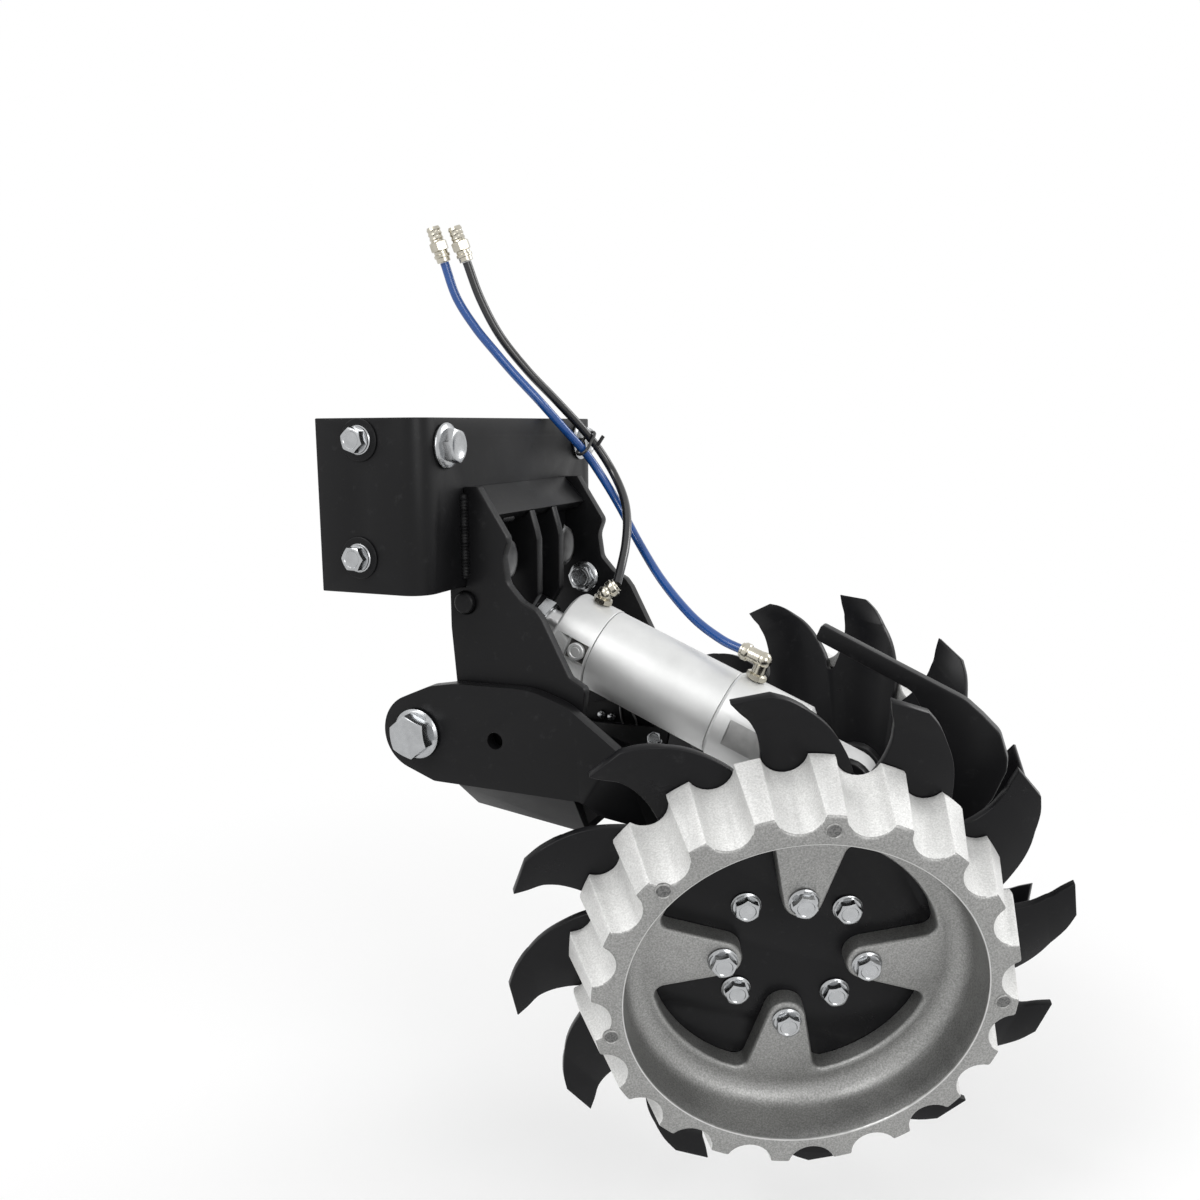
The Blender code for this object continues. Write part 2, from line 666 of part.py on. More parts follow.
# %% Belly plate: a shallow bent pan under the arm plates, its sides drawn inwards

pan_half = ARM_OUTSIDE - 0.0005
pan_floor = pan_half - 0.019
work = bmesh.new()
ends = []
for rim_x, floor_x, drop_z in ((0.007, 0.020, -0.0105), (0.090, 0.090, -0.0200)):
    row = [(rim_x, -pan_half, 0), (floor_x, -pan_floor, drop_z),
           (floor_x, pan_floor, drop_z), (rim_x, pan_half, 0)]
    ends.append([work.verts.new((x, y, BELLY_FOLD + z)) for x, y, z in row])
for i in range(3):
    work.faces.new((ends[0][i], ends[1][i], ends[1][i + 1], ends[0][i + 1]))
pan = bpy.data.meshes.new("pan")
work.to_mesh(pan)
work.free()
belly = add("arm_cross_plate", pan, Matrix.Identity(4), ARM, BLACK)
solid = belly.modifiers.new("thickness", "SOLIDIFY")
solid.thickness = BELLY_PLATE
solid.offset = 1
solid.use_even_offset = True
trim = flat([[(-0.2, -0.2), (0.3, -0.2), (0.3, 0.2), (-0.2, 0.2)]], 0.05)
cut(belly, trim, Matrix.Translation((0, 0, BELLY_FOLD - GAP + 0.025)), "trim")

# %% Block, lugs and lower pin of the cylinder

across = Vector((ACROSS.x, ACROSS.z))
along = Vector((ALONG.x, ALONG.z))
pin = Vector(lower_xz)
BLOCK_FRONT = 0.235
block = rounded([(0.172, -0.2075, 0.004), (BLOCK_FRONT, -0.2075), (BLOCK_FRONT, -0.258, 0.008),
                 (0.170, -0.258, 0.008)])
plate("centre_block", [block], -BLOCK_HALF, BLOCK_HALF, ARM, BLACK)

lug_inside = BLOCK_HALF + GAP
lug_outside = ARM_NARROW - GAP
lug_rear = pin - along * LUG_EYE - across * 0.062
lug_front = pin + along * LUG_EYE * 0.72 - across * 0.070
lug_base = [tuple(lug_front), (0.232, -0.262, 0.006), (0.200, -0.262, 0.006), tuple(lug_rear)]
lug = round_end(lower_xz, LUG_EYE, tuple(lug_rear), tuple(lug_front), 12) + rounded(lug_base)
for name, side in (("near", -1), ("far", 1)):
    plate("cylinder_ear_" + name, [lug, round_hole(lower_xz, PIN_D / 2 + PIN_PLAY)],
          side * lug_inside, side * lug_outside, ARM, BLACK)
add("cylinder_pin", fastener(0.024, 0.010, 0.013, 0.002, PIN_D / 2, 2 * lug_outside + 0.018),
    toward((CYLINDER_PIN.x, -lug_outside - GAP, CYLINDER_PIN.z), (0, -1, 0), 0.3), ARM, ZINC)
add("cylinder_pin_nut", hex_nut(0.024, 0.0135, PIN_D / 2 + PIN_PLAY),
    toward((CYLINDER_PIN.x, lug_outside + GAP, CYLINDER_PIN.z), (0, 1, 0), 0.2), ARM, ZINC)

# %% Guard plate between the wheels, with its open hook

guard_seat = BLOCK_FRONT + GAP
guard = rounded([
    (0.2222, -0.0762, 0.002), (0.310, -0.1163, 0.020), (0.3195, -0.1243, 0.012),
    (0.330, -0.1345, 0.012), (0.335, -0.150, 0.010), (0.335, -0.1575, 0.008),
    (0.328, -0.176, 0.010), (0.306, -0.208, 0.030), (0.266, -0.243, 0.030),
    (0.247, -0.2555, 0.006), (guard_seat, -0.2555), (guard_seat, -0.2105), (0.246, -0.2105, 0.006),
    (0.276, -0.193, 0.020), (0.300, -0.153, 0.030), (0.279, -0.1140, 0.014), (0.2182, -0.0858, 0.003)], 5)
plate("guard_plate", [guard], -GUARD_PLATE / 2, GUARD_PLATE / 2, ARM, BLACK)

# %% Toothed discs: one tooth's outline repeated, its tips folded outwards

TOOTH = [(118, -2.9), (128, -4.0), (140, -4.2), (151, -2.9), (158, -1.2), (165.5, 0),
         (165.5, -7.6), (157, -13.0), (147, -18.5), (136, -22.6), (125.5, -26.5), (116, -28.3),
         (111.3, -30.5)]
TOOTH_REACH = 165.5


TIP_BEND_RADIUS = DISC_RADIUS - TIP_LENGTH


def disc_outline(first_tip, hand):
    outline = []
    for tooth in range(TEETH):
        for radius, angle in TOOTH:
            r = radius / TOOTH_REACH * DISC_RADIUS
            turn = math.radians(first_tip - tooth * 360 / TEETH + angle * 12 / TEETH)
            outline.append((r * math.cos(turn), hand * r * math.sin(turn)))
    return outline


def disc(name, frame, parent, first_tip, hand, bolts):
    hole_radius = FLANGE_BOLT_D / 2 + BOLT_HOLE_PLAY
    holes = [round_hole(spot, hole_radius, 8) for spot in bolts]
    mesh = flat([disc_outline(first_tip, hand)] + holes, 0)
    work = bmesh.new()
    work.from_mesh(mesh)
    if mesh.polygons[0].normal.z < 0:
        bmesh.ops.reverse_faces(work, faces=work.faces)
    for tooth in range(TEETH):
        turn = math.radians(first_tip - 3.75 + tooth * 360 / TEETH)
        out = Vector((math.cos(turn), hand * math.sin(turn), 0))
        fold = out * TIP_BEND_RADIUS
        everything = work.verts[:] + work.edges[:] + work.faces[:]
        bmesh.ops.bisect_plane(work, geom=everything, dist=1e-7, plane_co=fold, plane_no=out)
        for vert in work.verts:
            past = vert.co.dot(out) - TIP_BEND_RADIUS
            if past > 1e-6:
                vert.co += out * past * (math.cos(TIP_BEND) - 1)
                vert.co.z += past * math.sin(TIP_BEND)
    work.to_mesh(mesh)
    work.free()
    ob = add(name, mesh, frame, parent, BLACK)
    solid = ob.modifiers.new("thickness", "SOLIDIFY")
    solid.thickness = DISC_THICKNESS
    solid.offset = -1
    return ob


# %% Floaters: a scalloped cone lofted from back to front, hollowed, with four spokes left


FLOATER_BACK_RADIUS = FLOATER_FRONT_RADIUS + FLOATER_FLARE
BOWL_RADIUS = FLOATER_FRONT_RADIUS + SCALLOP_CENTRE - SCALLOP_RADIUS - FLOATER_RIM
OPENING_RADIUS = BOWL_RADIUS - BOWL_FILLET - FLOOR_LEDGE
POCKET_RADIUS = BOWL_RADIUS - 0.0055      # hollow at the back, behind the bowl's wall


def scallops(radius, first, hand):
    """Ring of lugs and grooves; each groove is a round bite with its centre outside the ring."""
    pitch = 360 / SCALLOPS
    half = math.sqrt(SCALLOP_RADIUS ** 2 - SCALLOP_CENTRE ** 2)
    ring = []
    for i in range(SCALLOPS):
        middle = math.radians(first + (i + 0.5) * pitch)
        centre = radius + SCALLOP_CENTRE
        sweep = math.degrees(math.acos(SCALLOP_CENTRE / SCALLOP_RADIUS))
        for t in (-1.0, -0.66, -0.24, 0.24, 0.66, 1.0):
            turn = math.radians(sweep * t)
            x = centre - SCALLOP_RADIUS * math.cos(turn)
            y = SCALLOP_RADIUS * math.sin(turn)
            ring.append((x * math.cos(middle) - y * math.sin(middle),
                         hand * (x * math.sin(middle) + y * math.cos(middle))))
    return ring


def loft(rings):
    """Closed body through rings of equal count, each (outline, height)."""
    work = bmesh.new()
    rows = [[work.verts.new((x, y, z)) for x, y in outline] for outline, z in rings]
    for low_row, high_row in zip(rows, rows[1:]):
        count = len(low_row)
        for i in range(count):
            j = (i + 1) % count
            work.faces.new((low_row[i], low_row[j], high_row[j], high_row[i]))
    work.faces.new(rows[0])
    work.faces.new(rows[-1])
    bmesh.ops.recalc_face_normals(work, faces=work.faces)
    mesh = bpy.data.meshes.new("loft")
    work.to_mesh(mesh)
    work.free()
    return mesh


def spoke_opening(first, hand):
    """The opening inside the floor ring, with four spokes reaching in to the flange bolts."""
    outline = []
    half = SPOKE_ROOT / 2
    for i in range(4):
        turn = first + i * 90
        spread = math.degrees(math.asin(half / OPENING_RADIUS))
        root = (OPENING_RADIUS * math.cos(math.radians(spread)), half)
        side = [(root[0], -half, OPENING_CORNER)]
        side += round_end((FLANGE_BOLT_RADIUS, 0), SPOKE_END_RADIUS, (root[0], -half), root, 8)
        side += [(*root, OPENING_CORNER)]
        c, s = math.cos(math.radians(turn)), math.sin(math.radians(turn))
        outline += [(x * c - y * s, x * s + y * c, *more) for x, y, *more in side]
        start, end = turn + spread + 10, turn + 90 - spread - 10
        outline += arc((0, 0), OPENING_RADIUS, start, end, 6)
    return [(x, hand * y) for x, y in rounded(outline, 4)]


def floater(name, frame, parent, first_lug, first_spoke, hand):
    back = GAP
    slant = (FLOATER_FRONT_RADIUS - FLOATER_BACK_RADIUS) / (FLOATER_DEPTH - 0.005)

    def cone(z):
        return FLOATER_BACK_RADIUS + slant * max(0.0, z - 0.005)

    levels = [(back, 0.0), (0.005, 0.0), (FLOATER_DEPTH, 0.0)]
    rings = [(scallops(cone(z) + more, first_lug, hand), z) for z, more in levels]
    ob = add(name, loft(rings), frame, parent, CASTING)

    fillet = arc((BOWL_RADIUS - BOWL_FILLET, FLOOR_THICKNESS + BOWL_FILLET), BOWL_FILLET, 0, -90, 4)
    bowl = [(0, FLOATER_DEPTH + 0.01), (BOWL_RADIUS + 0.002, FLOATER_DEPTH + 0.01)] + fillet
    bowl += [(0, FLOOR_THICKNESS)]
    cut(ob, turned_mesh(bowl, 40), frame, "bowl")
    opening = flat([spoke_opening(first_spoke, hand)], FLOOR_THICKNESS * 4)
    cut(ob, opening, frame, "opening")
    wall = FLOATER_BACK_RADIUS - SCALLOP_RADIUS + SCALLOP_CENTRE - 0.0055
    pocket = [(POCKET_RADIUS, 0.007), (wall - 0.0075, 0.020), (wall, -0.01), (POCKET_RADIUS, -0.01)]
    cut(ob, turned_mesh(pocket, 32), frame, "pocket")
    spots = bolt_spots(first_spoke, hand)
    holes = flat([round_hole(spot, FLANGE_BOLT_D / 2 + BOLT_HOLE_PLAY, 10) for spot in spots],
                 FLOOR_THICKNESS * 4)
    cut(ob, holes, frame, "bolts")
    return ob


def bolt_spots(first, hand):
    return [(FLANGE_BOLT_RADIUS * math.cos(math.radians(first + i * 90)),
             hand * FLANGE_BOLT_RADIUS * math.sin(math.radians(first + i * 90))) for i in range(4)]


# %% Hubs with their flange bolts, and bearings


def hub(name, frame, parent, first_spoke, hand):
    top = -DISC_THICKNESS - GAP
    closed = -DISC_THICKNESS - GAP - HUB_FLANGE - 0.0035
    body = [(0, top), (HUB_FLANGE_RADIUS, top), (HUB_FLANGE_RADIUS, top - HUB_FLANGE),
            (HUB_RADIUS + 0.006, top - HUB_FLANGE - 0.001), (HUB_RADIUS, top - HUB_FLANGE - 0.006),
            (HUB_RADIUS, -HUB_LENGTH + 0.001), (HUB_RADIUS - 0.001, -HUB_LENGTH),
            (BEARING_RADIUS + GAP, -HUB_LENGTH), (BEARING_RADIUS + GAP, closed), (0, closed)]
    ob = add(name, turned_mesh(body, 32), frame, parent, BLACK)
    bolts = []
    for spots, seat in ((bolt_spots(first_spoke, hand), FLOOR_THICKNESS + GAP),
                        (bolt_spots(first_spoke + 45, hand), GAP)):
        for x, y in spots:
            length = seat - top + HUB_FLANGE / 2
            bolt = plain_bolt(FLANGE_BOLT_AF, 0.0085, FLANGE_BOLT_D / 2, length)
            bolts.append(moved(bolt, Matrix.Translation((x, y, seat))))
    join(ob, together(bolts), frame, "bolts")
    return ob


for name, frame, parent, hand, tip, lug_turn, spoke in (
        ("near", NEAR, NEAR_SPIN, 1, 15.0, 86.4, -3.0), ("far", FAR, FAR_SPIN, -1, 1.7, 86.4, -3.0)):
    spots = bolt_spots(spoke, hand) + bolt_spots(spoke + 45, hand)
    disc("disc_" + name, frame, parent, tip, hand, spots)
    floater("floater_" + name, frame, parent, lug_turn, spoke, hand)
    hub("hub_" + name, frame, parent, spoke, hand)
    inner = JOURNAL_RADIUS + 0.0004
    start = -DISC_THICKNESS - GAP - HUB_FLANGE - 0.0035 - GAP
    ring = [(inner, start), (BEARING_RADIUS, start), (BEARING_RADIUS, start - BEARING_WIDTH),
            (inner, start - BEARING_WIDTH)]
    add("bearing_" + name, turned_mesh(ring), frame, parent, DARK)

# %% Air cylinder: barrel, caps and ports

barrel_bore = BARREL_RADIUS - BARREL_WALL
length = BARREL_END - BARREL_START - 2 * GAP
add("cylinder_barrel", turned_mesh([(barrel_bore, length), (BARREL_RADIUS, length),
                                    (BARREL_RADIUS, 0), (barrel_bore, 0)], 48),
    cylinder_frame(BARREL_START + GAP), BARREL, SATIN)

gland = ROD_RADIUS + GLAND_PLAY
length = BARREL_START - HEAD_START
head_cap = add("head_cap", turned_mesh([
    (gland, length), (HEAD_CAP_RADIUS, length), (HEAD_CAP_RADIUS, 0.002),
    (HEAD_CAP_RADIUS - 0.002, 0), (gland, 0)], 48), cylinder_frame(HEAD_START), BARREL, SATIN)
PORT_AT = 0.0665              # plugged port on the near side, along the cylinder
PORT_HALF = 0.0075
PORT_DEPTH = 0.004
recess = flat([[(-PORT_HALF, -PORT_HALF), (PORT_HALF, -PORT_HALF), (PORT_HALF, PORT_HALF),
                (-PORT_HALF, PORT_HALF)]], PORT_DEPTH * 3)
port = cylinder_frame(PORT_AT) @ Matrix.Rotation(math.radians(90), 4, "X")
near_side = HEAD_CAP_RADIUS - PORT_DEPTH
cut(head_cap, recess, port @ Matrix.Translation((0, 0, -near_side - PORT_DEPTH * 1.5)), "recess")
add("head_plug", fastener(0.006, 0.0032, 0.0055, 0.002, 0.003, -0.0005, 16),
    port @ Matrix.Translation((0, 0, -near_side - GAP)) @ Matrix.Rotation(math.pi, 4, "X"),
    BARREL, ZINC)

length = CYLINDER_END - BARREL_END
end_cap = add("end_cap", turned_mesh([
    (0, length), (END_CAP_RADIUS - 0.003, length), (END_CAP_RADIUS, length - 0.003),
    (END_CAP_RADIUS, 0.002), (END_CAP_RADIUS - 0.0015, 0), (0, 0)], 48),
    cylinder_frame(BARREL_END), BARREL, SATIN)
pin_distance = stroke.length
tang = [(CYLINDER_END - 0.006, -EYE_RADIUS), (pin_distance, -EYE_RADIUS)]
tang += arc((pin_distance, 0), EYE_RADIUS, -90, 90, 12)[1:-1]
tang += [(pin_distance, EYE_RADIUS), (CYLINDER_END - 0.006, EYE_RADIUS)]
eye_frame = lateral(0, ALONG)
eye_frame.translation = ROD_PIN
join(end_cap, flat([tang], 2 * EYE_HALF), eye_frame, "eye")
cut(end_cap, flat([round_hole((pin_distance, 0), PIN_D / 2 + PIN_PLAY)], 0.1), eye_frame, "bore")
FLAT_START = BARREL_END + 0.011   # shallow flats for a wrench on both sides of the end cap
FLAT_DEPTH = 0.0014
wrench_flat = flat([[(FLAT_START, -EYE_RADIUS), (CYLINDER_END + 0.01, -EYE_RADIUS),
                     (CYLINDER_END + 0.01, EYE_RADIUS), (FLAT_START, EYE_RADIUS)]], 0.02)
for side in (-1, 1):
    beside = Matrix.Translation((0, 0, side * (END_CAP_RADIUS - FLAT_DEPTH + 0.01)))
    cut(end_cap, wrench_flat, eye_frame @ beside, "flat")

# %% Piston rod, piston, rod eye and jam nut

neck = 0.0115
NUT_START = 0.0225
rod_eye_end = NUT_START - GAP
outline = arc((0, 0), EYE_RADIUS, 46, 314, 18) + [(rod_eye_end, -neck), (rod_eye_end, neck)]
rod_eye = add("rod_eye", flat([outline, round_hole((0, 0), PIN_D / 2 + PIN_PLAY)], 2 * EYE_HALF),
              eye_frame, ROD, BLACK)
JAM_NUT = 0.0085
JAM_NUT_AF = 0.0254           # its flats face the ears and pass between them
add("jam_nut", flat([hexagon(JAM_NUT_AF), round_hole((0, 0), ROD_RADIUS + GAP, 20)], JAM_NUT),
    cylinder_frame(NUT_START + JAM_NUT / 2), ROD, ZINC)
rod_length = PISTON_START + PISTON_LENGTH + 0.004 - NUT_START
add("piston_rod", turned_mesh([(0, rod_length), (ROD_RADIUS - 0.001, rod_length),
                               (ROD_RADIUS, rod_length - 0.001), (ROD_RADIUS, 0), (0, 0)], 24),
    cylinder_frame(NUT_START), ROD, CHROME)
piston_radius = barrel_bore - GLAND_PLAY
add("piston", turned_mesh([(ROD_RADIUS + GAP, PISTON_LENGTH), (piston_radius, PISTON_LENGTH),
                           (piston_radius, 0), (ROD_RADIUS + GAP, 0)]),
    cylinder_frame(PISTON_START), ROD, DARK)

# %% Elbows and air lines

HEAD_PORT_AT = 0.062
END_PORT_AT = 0.179
BLUE_ROUTE = [
    (-0.0468, 0.0000, 0.1598), (-0.0415, 0.006, 0.1368), (-0.0304, 0.012, 0.1164),
    (-0.0180, 0.018, 0.0993), (-0.0067, 0.025, 0.0838), (0.0088, 0.035, 0.0641),
    (0.0222, 0.050, 0.0431), (0.0304, 0.066, 0.0268), (0.0400, 0.074, 0.0090),
    (0.0551, 0.072, -0.0129), (0.0740, 0.060, -0.0362), (0.0995, 0.041, -0.0610),
    (0.1285, 0.021, -0.0815), (0.1529, 0.008, -0.0929), (0.1700, 0.002, -0.0980)]
BLACK_ROUTE = [
    (-0.0325, 0.0060, 0.1602), (-0.0262, 0.013, 0.1355), (-0.0160, 0.022, 0.1105),
    (-0.0010, 0.034, 0.0868), (0.0130, 0.049, 0.0670), (0.0257, 0.066, 0.0470),
    (0.0350, 0.0765, 0.0312), (0.0462, 0.079, 0.0130), (0.0600, 0.066, -0.0042),
    (0.0700, 0.048, -0.0190), (0.0762, 0.030, -0.0346), (0.0792, 0.015, -0.0475),
    (0.0800, 0.004, -0.0595)]

for name, at, radius, rise, route in (("head_elbow", HEAD_PORT_AT, HEAD_CAP_RADIUS, 0.0065, BLACK_ROUTE),
                                      ("end_elbow", END_PORT_AT, END_CAP_RADIUS, 0.0145, BLUE_ROUTE)):
    seat = ROD_PIN + ALONG * at + ACROSS * (radius + GAP)
    heading = (Vector(route[-2]) - Vector(route[-1])).normalized()
    mouth = Vector(route[-1]) - heading * 2 * GAP
    throat = mouth - heading * FITTING_RADIUS
    bend = [seat, seat + ACROSS * rise * 0.5, throat.lerp(seat + ACROSS * rise, 0.5), throat, mouth]
    tube(name, bend, FITTING_RADIUS, BARREL, BRASS)

for colour, route, look in (("blue", BLUE_ROUTE, BLUE_TUBE), ("black", BLACK_ROUTE, BLACK_TUBE)):
    points = smooth(route, AIR_LINE_D * 2.5)
    tube(colour + "_air_line", points, AIR_LINE_D / 2, ROOT, look)
    away = (points[0] - points[1]).normalized()
    union = turned_mesh([(0, UNION_LENGTH), (UNION_RADIUS * 0.8, UNION_LENGTH),
                         (UNION_RADIUS, UNION_LENGTH * 0.8), (UNION_RADIUS, 0.004),
                         (UNION_RADIUS * 0.85, 0), (0, 0)], 20)
    add(colour + "_union", union, toward(points[0] + away * GAP, away), ROOT, BRASS)

# %% Tie round both air lines, where they pass the bracket's far corner

blue_points, black_points = smooth(BLUE_ROUTE, 0.002), smooth(BLACK_ROUTE, 0.002)
TIE_AT = 0.0300
spot = min(blue_points, key=lambda p: abs(p.z - TIE_AT))
mate = min(black_points, key=lambda p: (p - spot).length)
flow = (blue_points[blue_points.index(spot) + 1] - blue_points[blue_points.index(spot) - 1]).normalized()
apart = mate - spot
apart -= flow * apart.dot(flow)
TIE_RADIUS = 0.0012
half = apart.length / 2
reach = AIR_LINE_D / 2 + TIE_RADIUS + 2 * GAP
wide = flow.cross(apart).normalized()
centre = (spot + mate) / 2
loop = [centre + apart.normalized() * (half + reach * math.cos(math.radians(t)))
        + wide * reach * math.sin(math.radians(t)) for t in range(-90, 91, 30)]
loop += [centre + apart.normalized() * (-half + reach * math.cos(math.radians(t)))
         + wide * reach * math.sin(math.radians(t)) for t in range(90, 271, 30)]
tube("line_tie", loop, TIE_RADIUS, ROOT, BLACK_TUBE, closed=True)
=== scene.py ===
# %% [markdown]
# A row cleaner clears stalks out of the way of a planter's opener. Two toothed discs turn on an
# arm that an air cylinder lifts or presses down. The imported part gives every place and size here,
# so this script only dresses it: finer shapes where the eye lands, and a real finish everywhere.

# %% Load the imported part
import json
import math

import bmesh
import bpy
from mathutils import Matrix, Vector
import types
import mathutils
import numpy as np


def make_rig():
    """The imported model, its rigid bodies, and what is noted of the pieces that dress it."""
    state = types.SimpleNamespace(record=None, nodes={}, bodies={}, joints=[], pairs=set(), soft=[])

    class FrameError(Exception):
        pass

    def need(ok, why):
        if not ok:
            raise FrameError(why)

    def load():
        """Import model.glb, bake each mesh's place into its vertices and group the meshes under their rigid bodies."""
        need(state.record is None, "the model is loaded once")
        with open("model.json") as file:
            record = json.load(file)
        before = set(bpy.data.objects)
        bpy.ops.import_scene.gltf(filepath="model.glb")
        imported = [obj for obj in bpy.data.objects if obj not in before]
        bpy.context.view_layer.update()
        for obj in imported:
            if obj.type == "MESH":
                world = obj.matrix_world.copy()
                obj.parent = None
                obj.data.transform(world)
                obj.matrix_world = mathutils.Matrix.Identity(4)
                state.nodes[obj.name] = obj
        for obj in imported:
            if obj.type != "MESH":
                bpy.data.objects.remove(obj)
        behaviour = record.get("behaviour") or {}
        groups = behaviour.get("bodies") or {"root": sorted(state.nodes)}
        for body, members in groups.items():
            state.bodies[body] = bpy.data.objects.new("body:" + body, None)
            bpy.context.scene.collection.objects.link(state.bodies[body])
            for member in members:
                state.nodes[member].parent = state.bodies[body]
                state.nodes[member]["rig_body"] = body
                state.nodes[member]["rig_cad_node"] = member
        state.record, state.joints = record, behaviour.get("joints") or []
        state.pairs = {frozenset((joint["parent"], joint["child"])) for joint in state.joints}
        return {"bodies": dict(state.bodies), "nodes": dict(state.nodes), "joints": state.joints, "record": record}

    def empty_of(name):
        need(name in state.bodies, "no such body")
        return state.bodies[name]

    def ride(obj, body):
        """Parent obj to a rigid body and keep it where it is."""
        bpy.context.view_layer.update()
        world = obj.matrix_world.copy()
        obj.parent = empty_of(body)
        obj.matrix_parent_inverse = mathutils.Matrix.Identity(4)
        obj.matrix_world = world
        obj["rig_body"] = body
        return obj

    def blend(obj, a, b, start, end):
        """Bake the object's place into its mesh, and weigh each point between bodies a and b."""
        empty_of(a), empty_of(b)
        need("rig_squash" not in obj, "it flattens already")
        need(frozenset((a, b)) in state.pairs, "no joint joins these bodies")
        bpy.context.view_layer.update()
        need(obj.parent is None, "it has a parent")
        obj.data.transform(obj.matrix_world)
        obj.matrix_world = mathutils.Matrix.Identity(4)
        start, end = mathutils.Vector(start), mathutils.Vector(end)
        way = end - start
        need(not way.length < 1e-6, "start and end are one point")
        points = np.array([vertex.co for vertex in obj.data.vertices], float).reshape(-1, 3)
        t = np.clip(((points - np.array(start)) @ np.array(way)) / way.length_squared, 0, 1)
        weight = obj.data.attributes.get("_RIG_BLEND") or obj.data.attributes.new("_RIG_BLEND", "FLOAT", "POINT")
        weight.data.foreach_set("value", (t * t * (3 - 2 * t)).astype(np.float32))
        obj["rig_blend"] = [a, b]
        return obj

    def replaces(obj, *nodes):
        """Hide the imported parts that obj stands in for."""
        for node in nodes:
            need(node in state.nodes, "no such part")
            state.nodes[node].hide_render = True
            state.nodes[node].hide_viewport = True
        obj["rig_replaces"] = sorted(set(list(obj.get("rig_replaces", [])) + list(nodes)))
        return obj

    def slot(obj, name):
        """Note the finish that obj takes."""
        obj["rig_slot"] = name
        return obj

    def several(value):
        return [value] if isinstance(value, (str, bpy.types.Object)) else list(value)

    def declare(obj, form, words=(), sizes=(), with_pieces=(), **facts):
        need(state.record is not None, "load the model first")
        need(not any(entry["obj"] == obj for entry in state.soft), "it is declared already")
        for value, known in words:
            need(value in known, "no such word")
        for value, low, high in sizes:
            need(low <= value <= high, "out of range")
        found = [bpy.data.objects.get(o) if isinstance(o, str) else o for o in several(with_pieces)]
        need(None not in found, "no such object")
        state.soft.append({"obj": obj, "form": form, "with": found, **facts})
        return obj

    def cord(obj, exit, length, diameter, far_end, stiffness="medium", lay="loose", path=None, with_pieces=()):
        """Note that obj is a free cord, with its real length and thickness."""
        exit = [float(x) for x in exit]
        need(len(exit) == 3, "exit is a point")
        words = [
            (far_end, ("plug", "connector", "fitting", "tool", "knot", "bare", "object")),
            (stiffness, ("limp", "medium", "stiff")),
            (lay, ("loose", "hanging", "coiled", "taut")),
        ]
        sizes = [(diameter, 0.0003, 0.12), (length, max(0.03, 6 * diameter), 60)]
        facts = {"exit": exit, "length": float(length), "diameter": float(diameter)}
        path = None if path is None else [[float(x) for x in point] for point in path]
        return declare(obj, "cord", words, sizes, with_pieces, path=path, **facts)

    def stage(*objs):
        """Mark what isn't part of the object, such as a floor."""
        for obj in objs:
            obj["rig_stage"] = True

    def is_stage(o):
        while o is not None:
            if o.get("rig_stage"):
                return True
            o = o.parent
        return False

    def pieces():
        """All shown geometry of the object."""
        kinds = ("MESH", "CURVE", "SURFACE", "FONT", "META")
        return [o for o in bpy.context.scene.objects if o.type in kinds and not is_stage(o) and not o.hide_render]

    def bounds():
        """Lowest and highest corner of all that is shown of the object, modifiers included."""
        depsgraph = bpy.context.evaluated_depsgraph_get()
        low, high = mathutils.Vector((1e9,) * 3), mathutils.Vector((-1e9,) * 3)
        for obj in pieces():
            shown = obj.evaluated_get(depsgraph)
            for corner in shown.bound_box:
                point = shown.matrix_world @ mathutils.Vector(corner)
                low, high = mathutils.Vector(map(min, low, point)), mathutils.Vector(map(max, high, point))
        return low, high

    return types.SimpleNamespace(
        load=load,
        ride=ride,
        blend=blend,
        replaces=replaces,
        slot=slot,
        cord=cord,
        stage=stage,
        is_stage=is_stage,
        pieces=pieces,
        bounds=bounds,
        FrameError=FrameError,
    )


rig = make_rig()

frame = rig.load()
packed_box = [list(corner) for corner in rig.bounds()]
bodies = frame["record"]["behaviour"]["bodies"]
node_body = {node: body for body, nodes in bodies.items() for node in nodes}
node_slot = {part["node"]: part["material_slot"] for part in frame["record"]["subparts"]}
print("nodes:", len(node_body), "box:", packed_box)

# %% [markdown]
# The photograph is taken from the near side, a little ahead of the bracket and slightly above the
# wheels, with a moderately wide lens. The place and the turn of the camera come from solving for
# both wheels' tooth tips at once, so the two discs show their true toe and camber.

# %% Camera
camera = bpy.data.objects.new("camera", bpy.data.cameras.new("camera"))
camera.data.sensor_width = 36
camera.data.lens = 31.5
camera.location = (0.35191, -0.65218, 0.04721)
camera.rotation_euler = (math.radians(80.598), math.radians(0.366), math.radians(23.375))
camera.data.clip_start = 0.02
bpy.context.scene.collection.objects.link(camera)
bpy.context.scene.camera = camera

# %% [markdown]
# Two stiff nylon lines bring air down from the planter to the cylinder. They are taut rather than
# loose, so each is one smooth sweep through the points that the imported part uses, tied together at
# the bracket's far corner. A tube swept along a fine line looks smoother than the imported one.

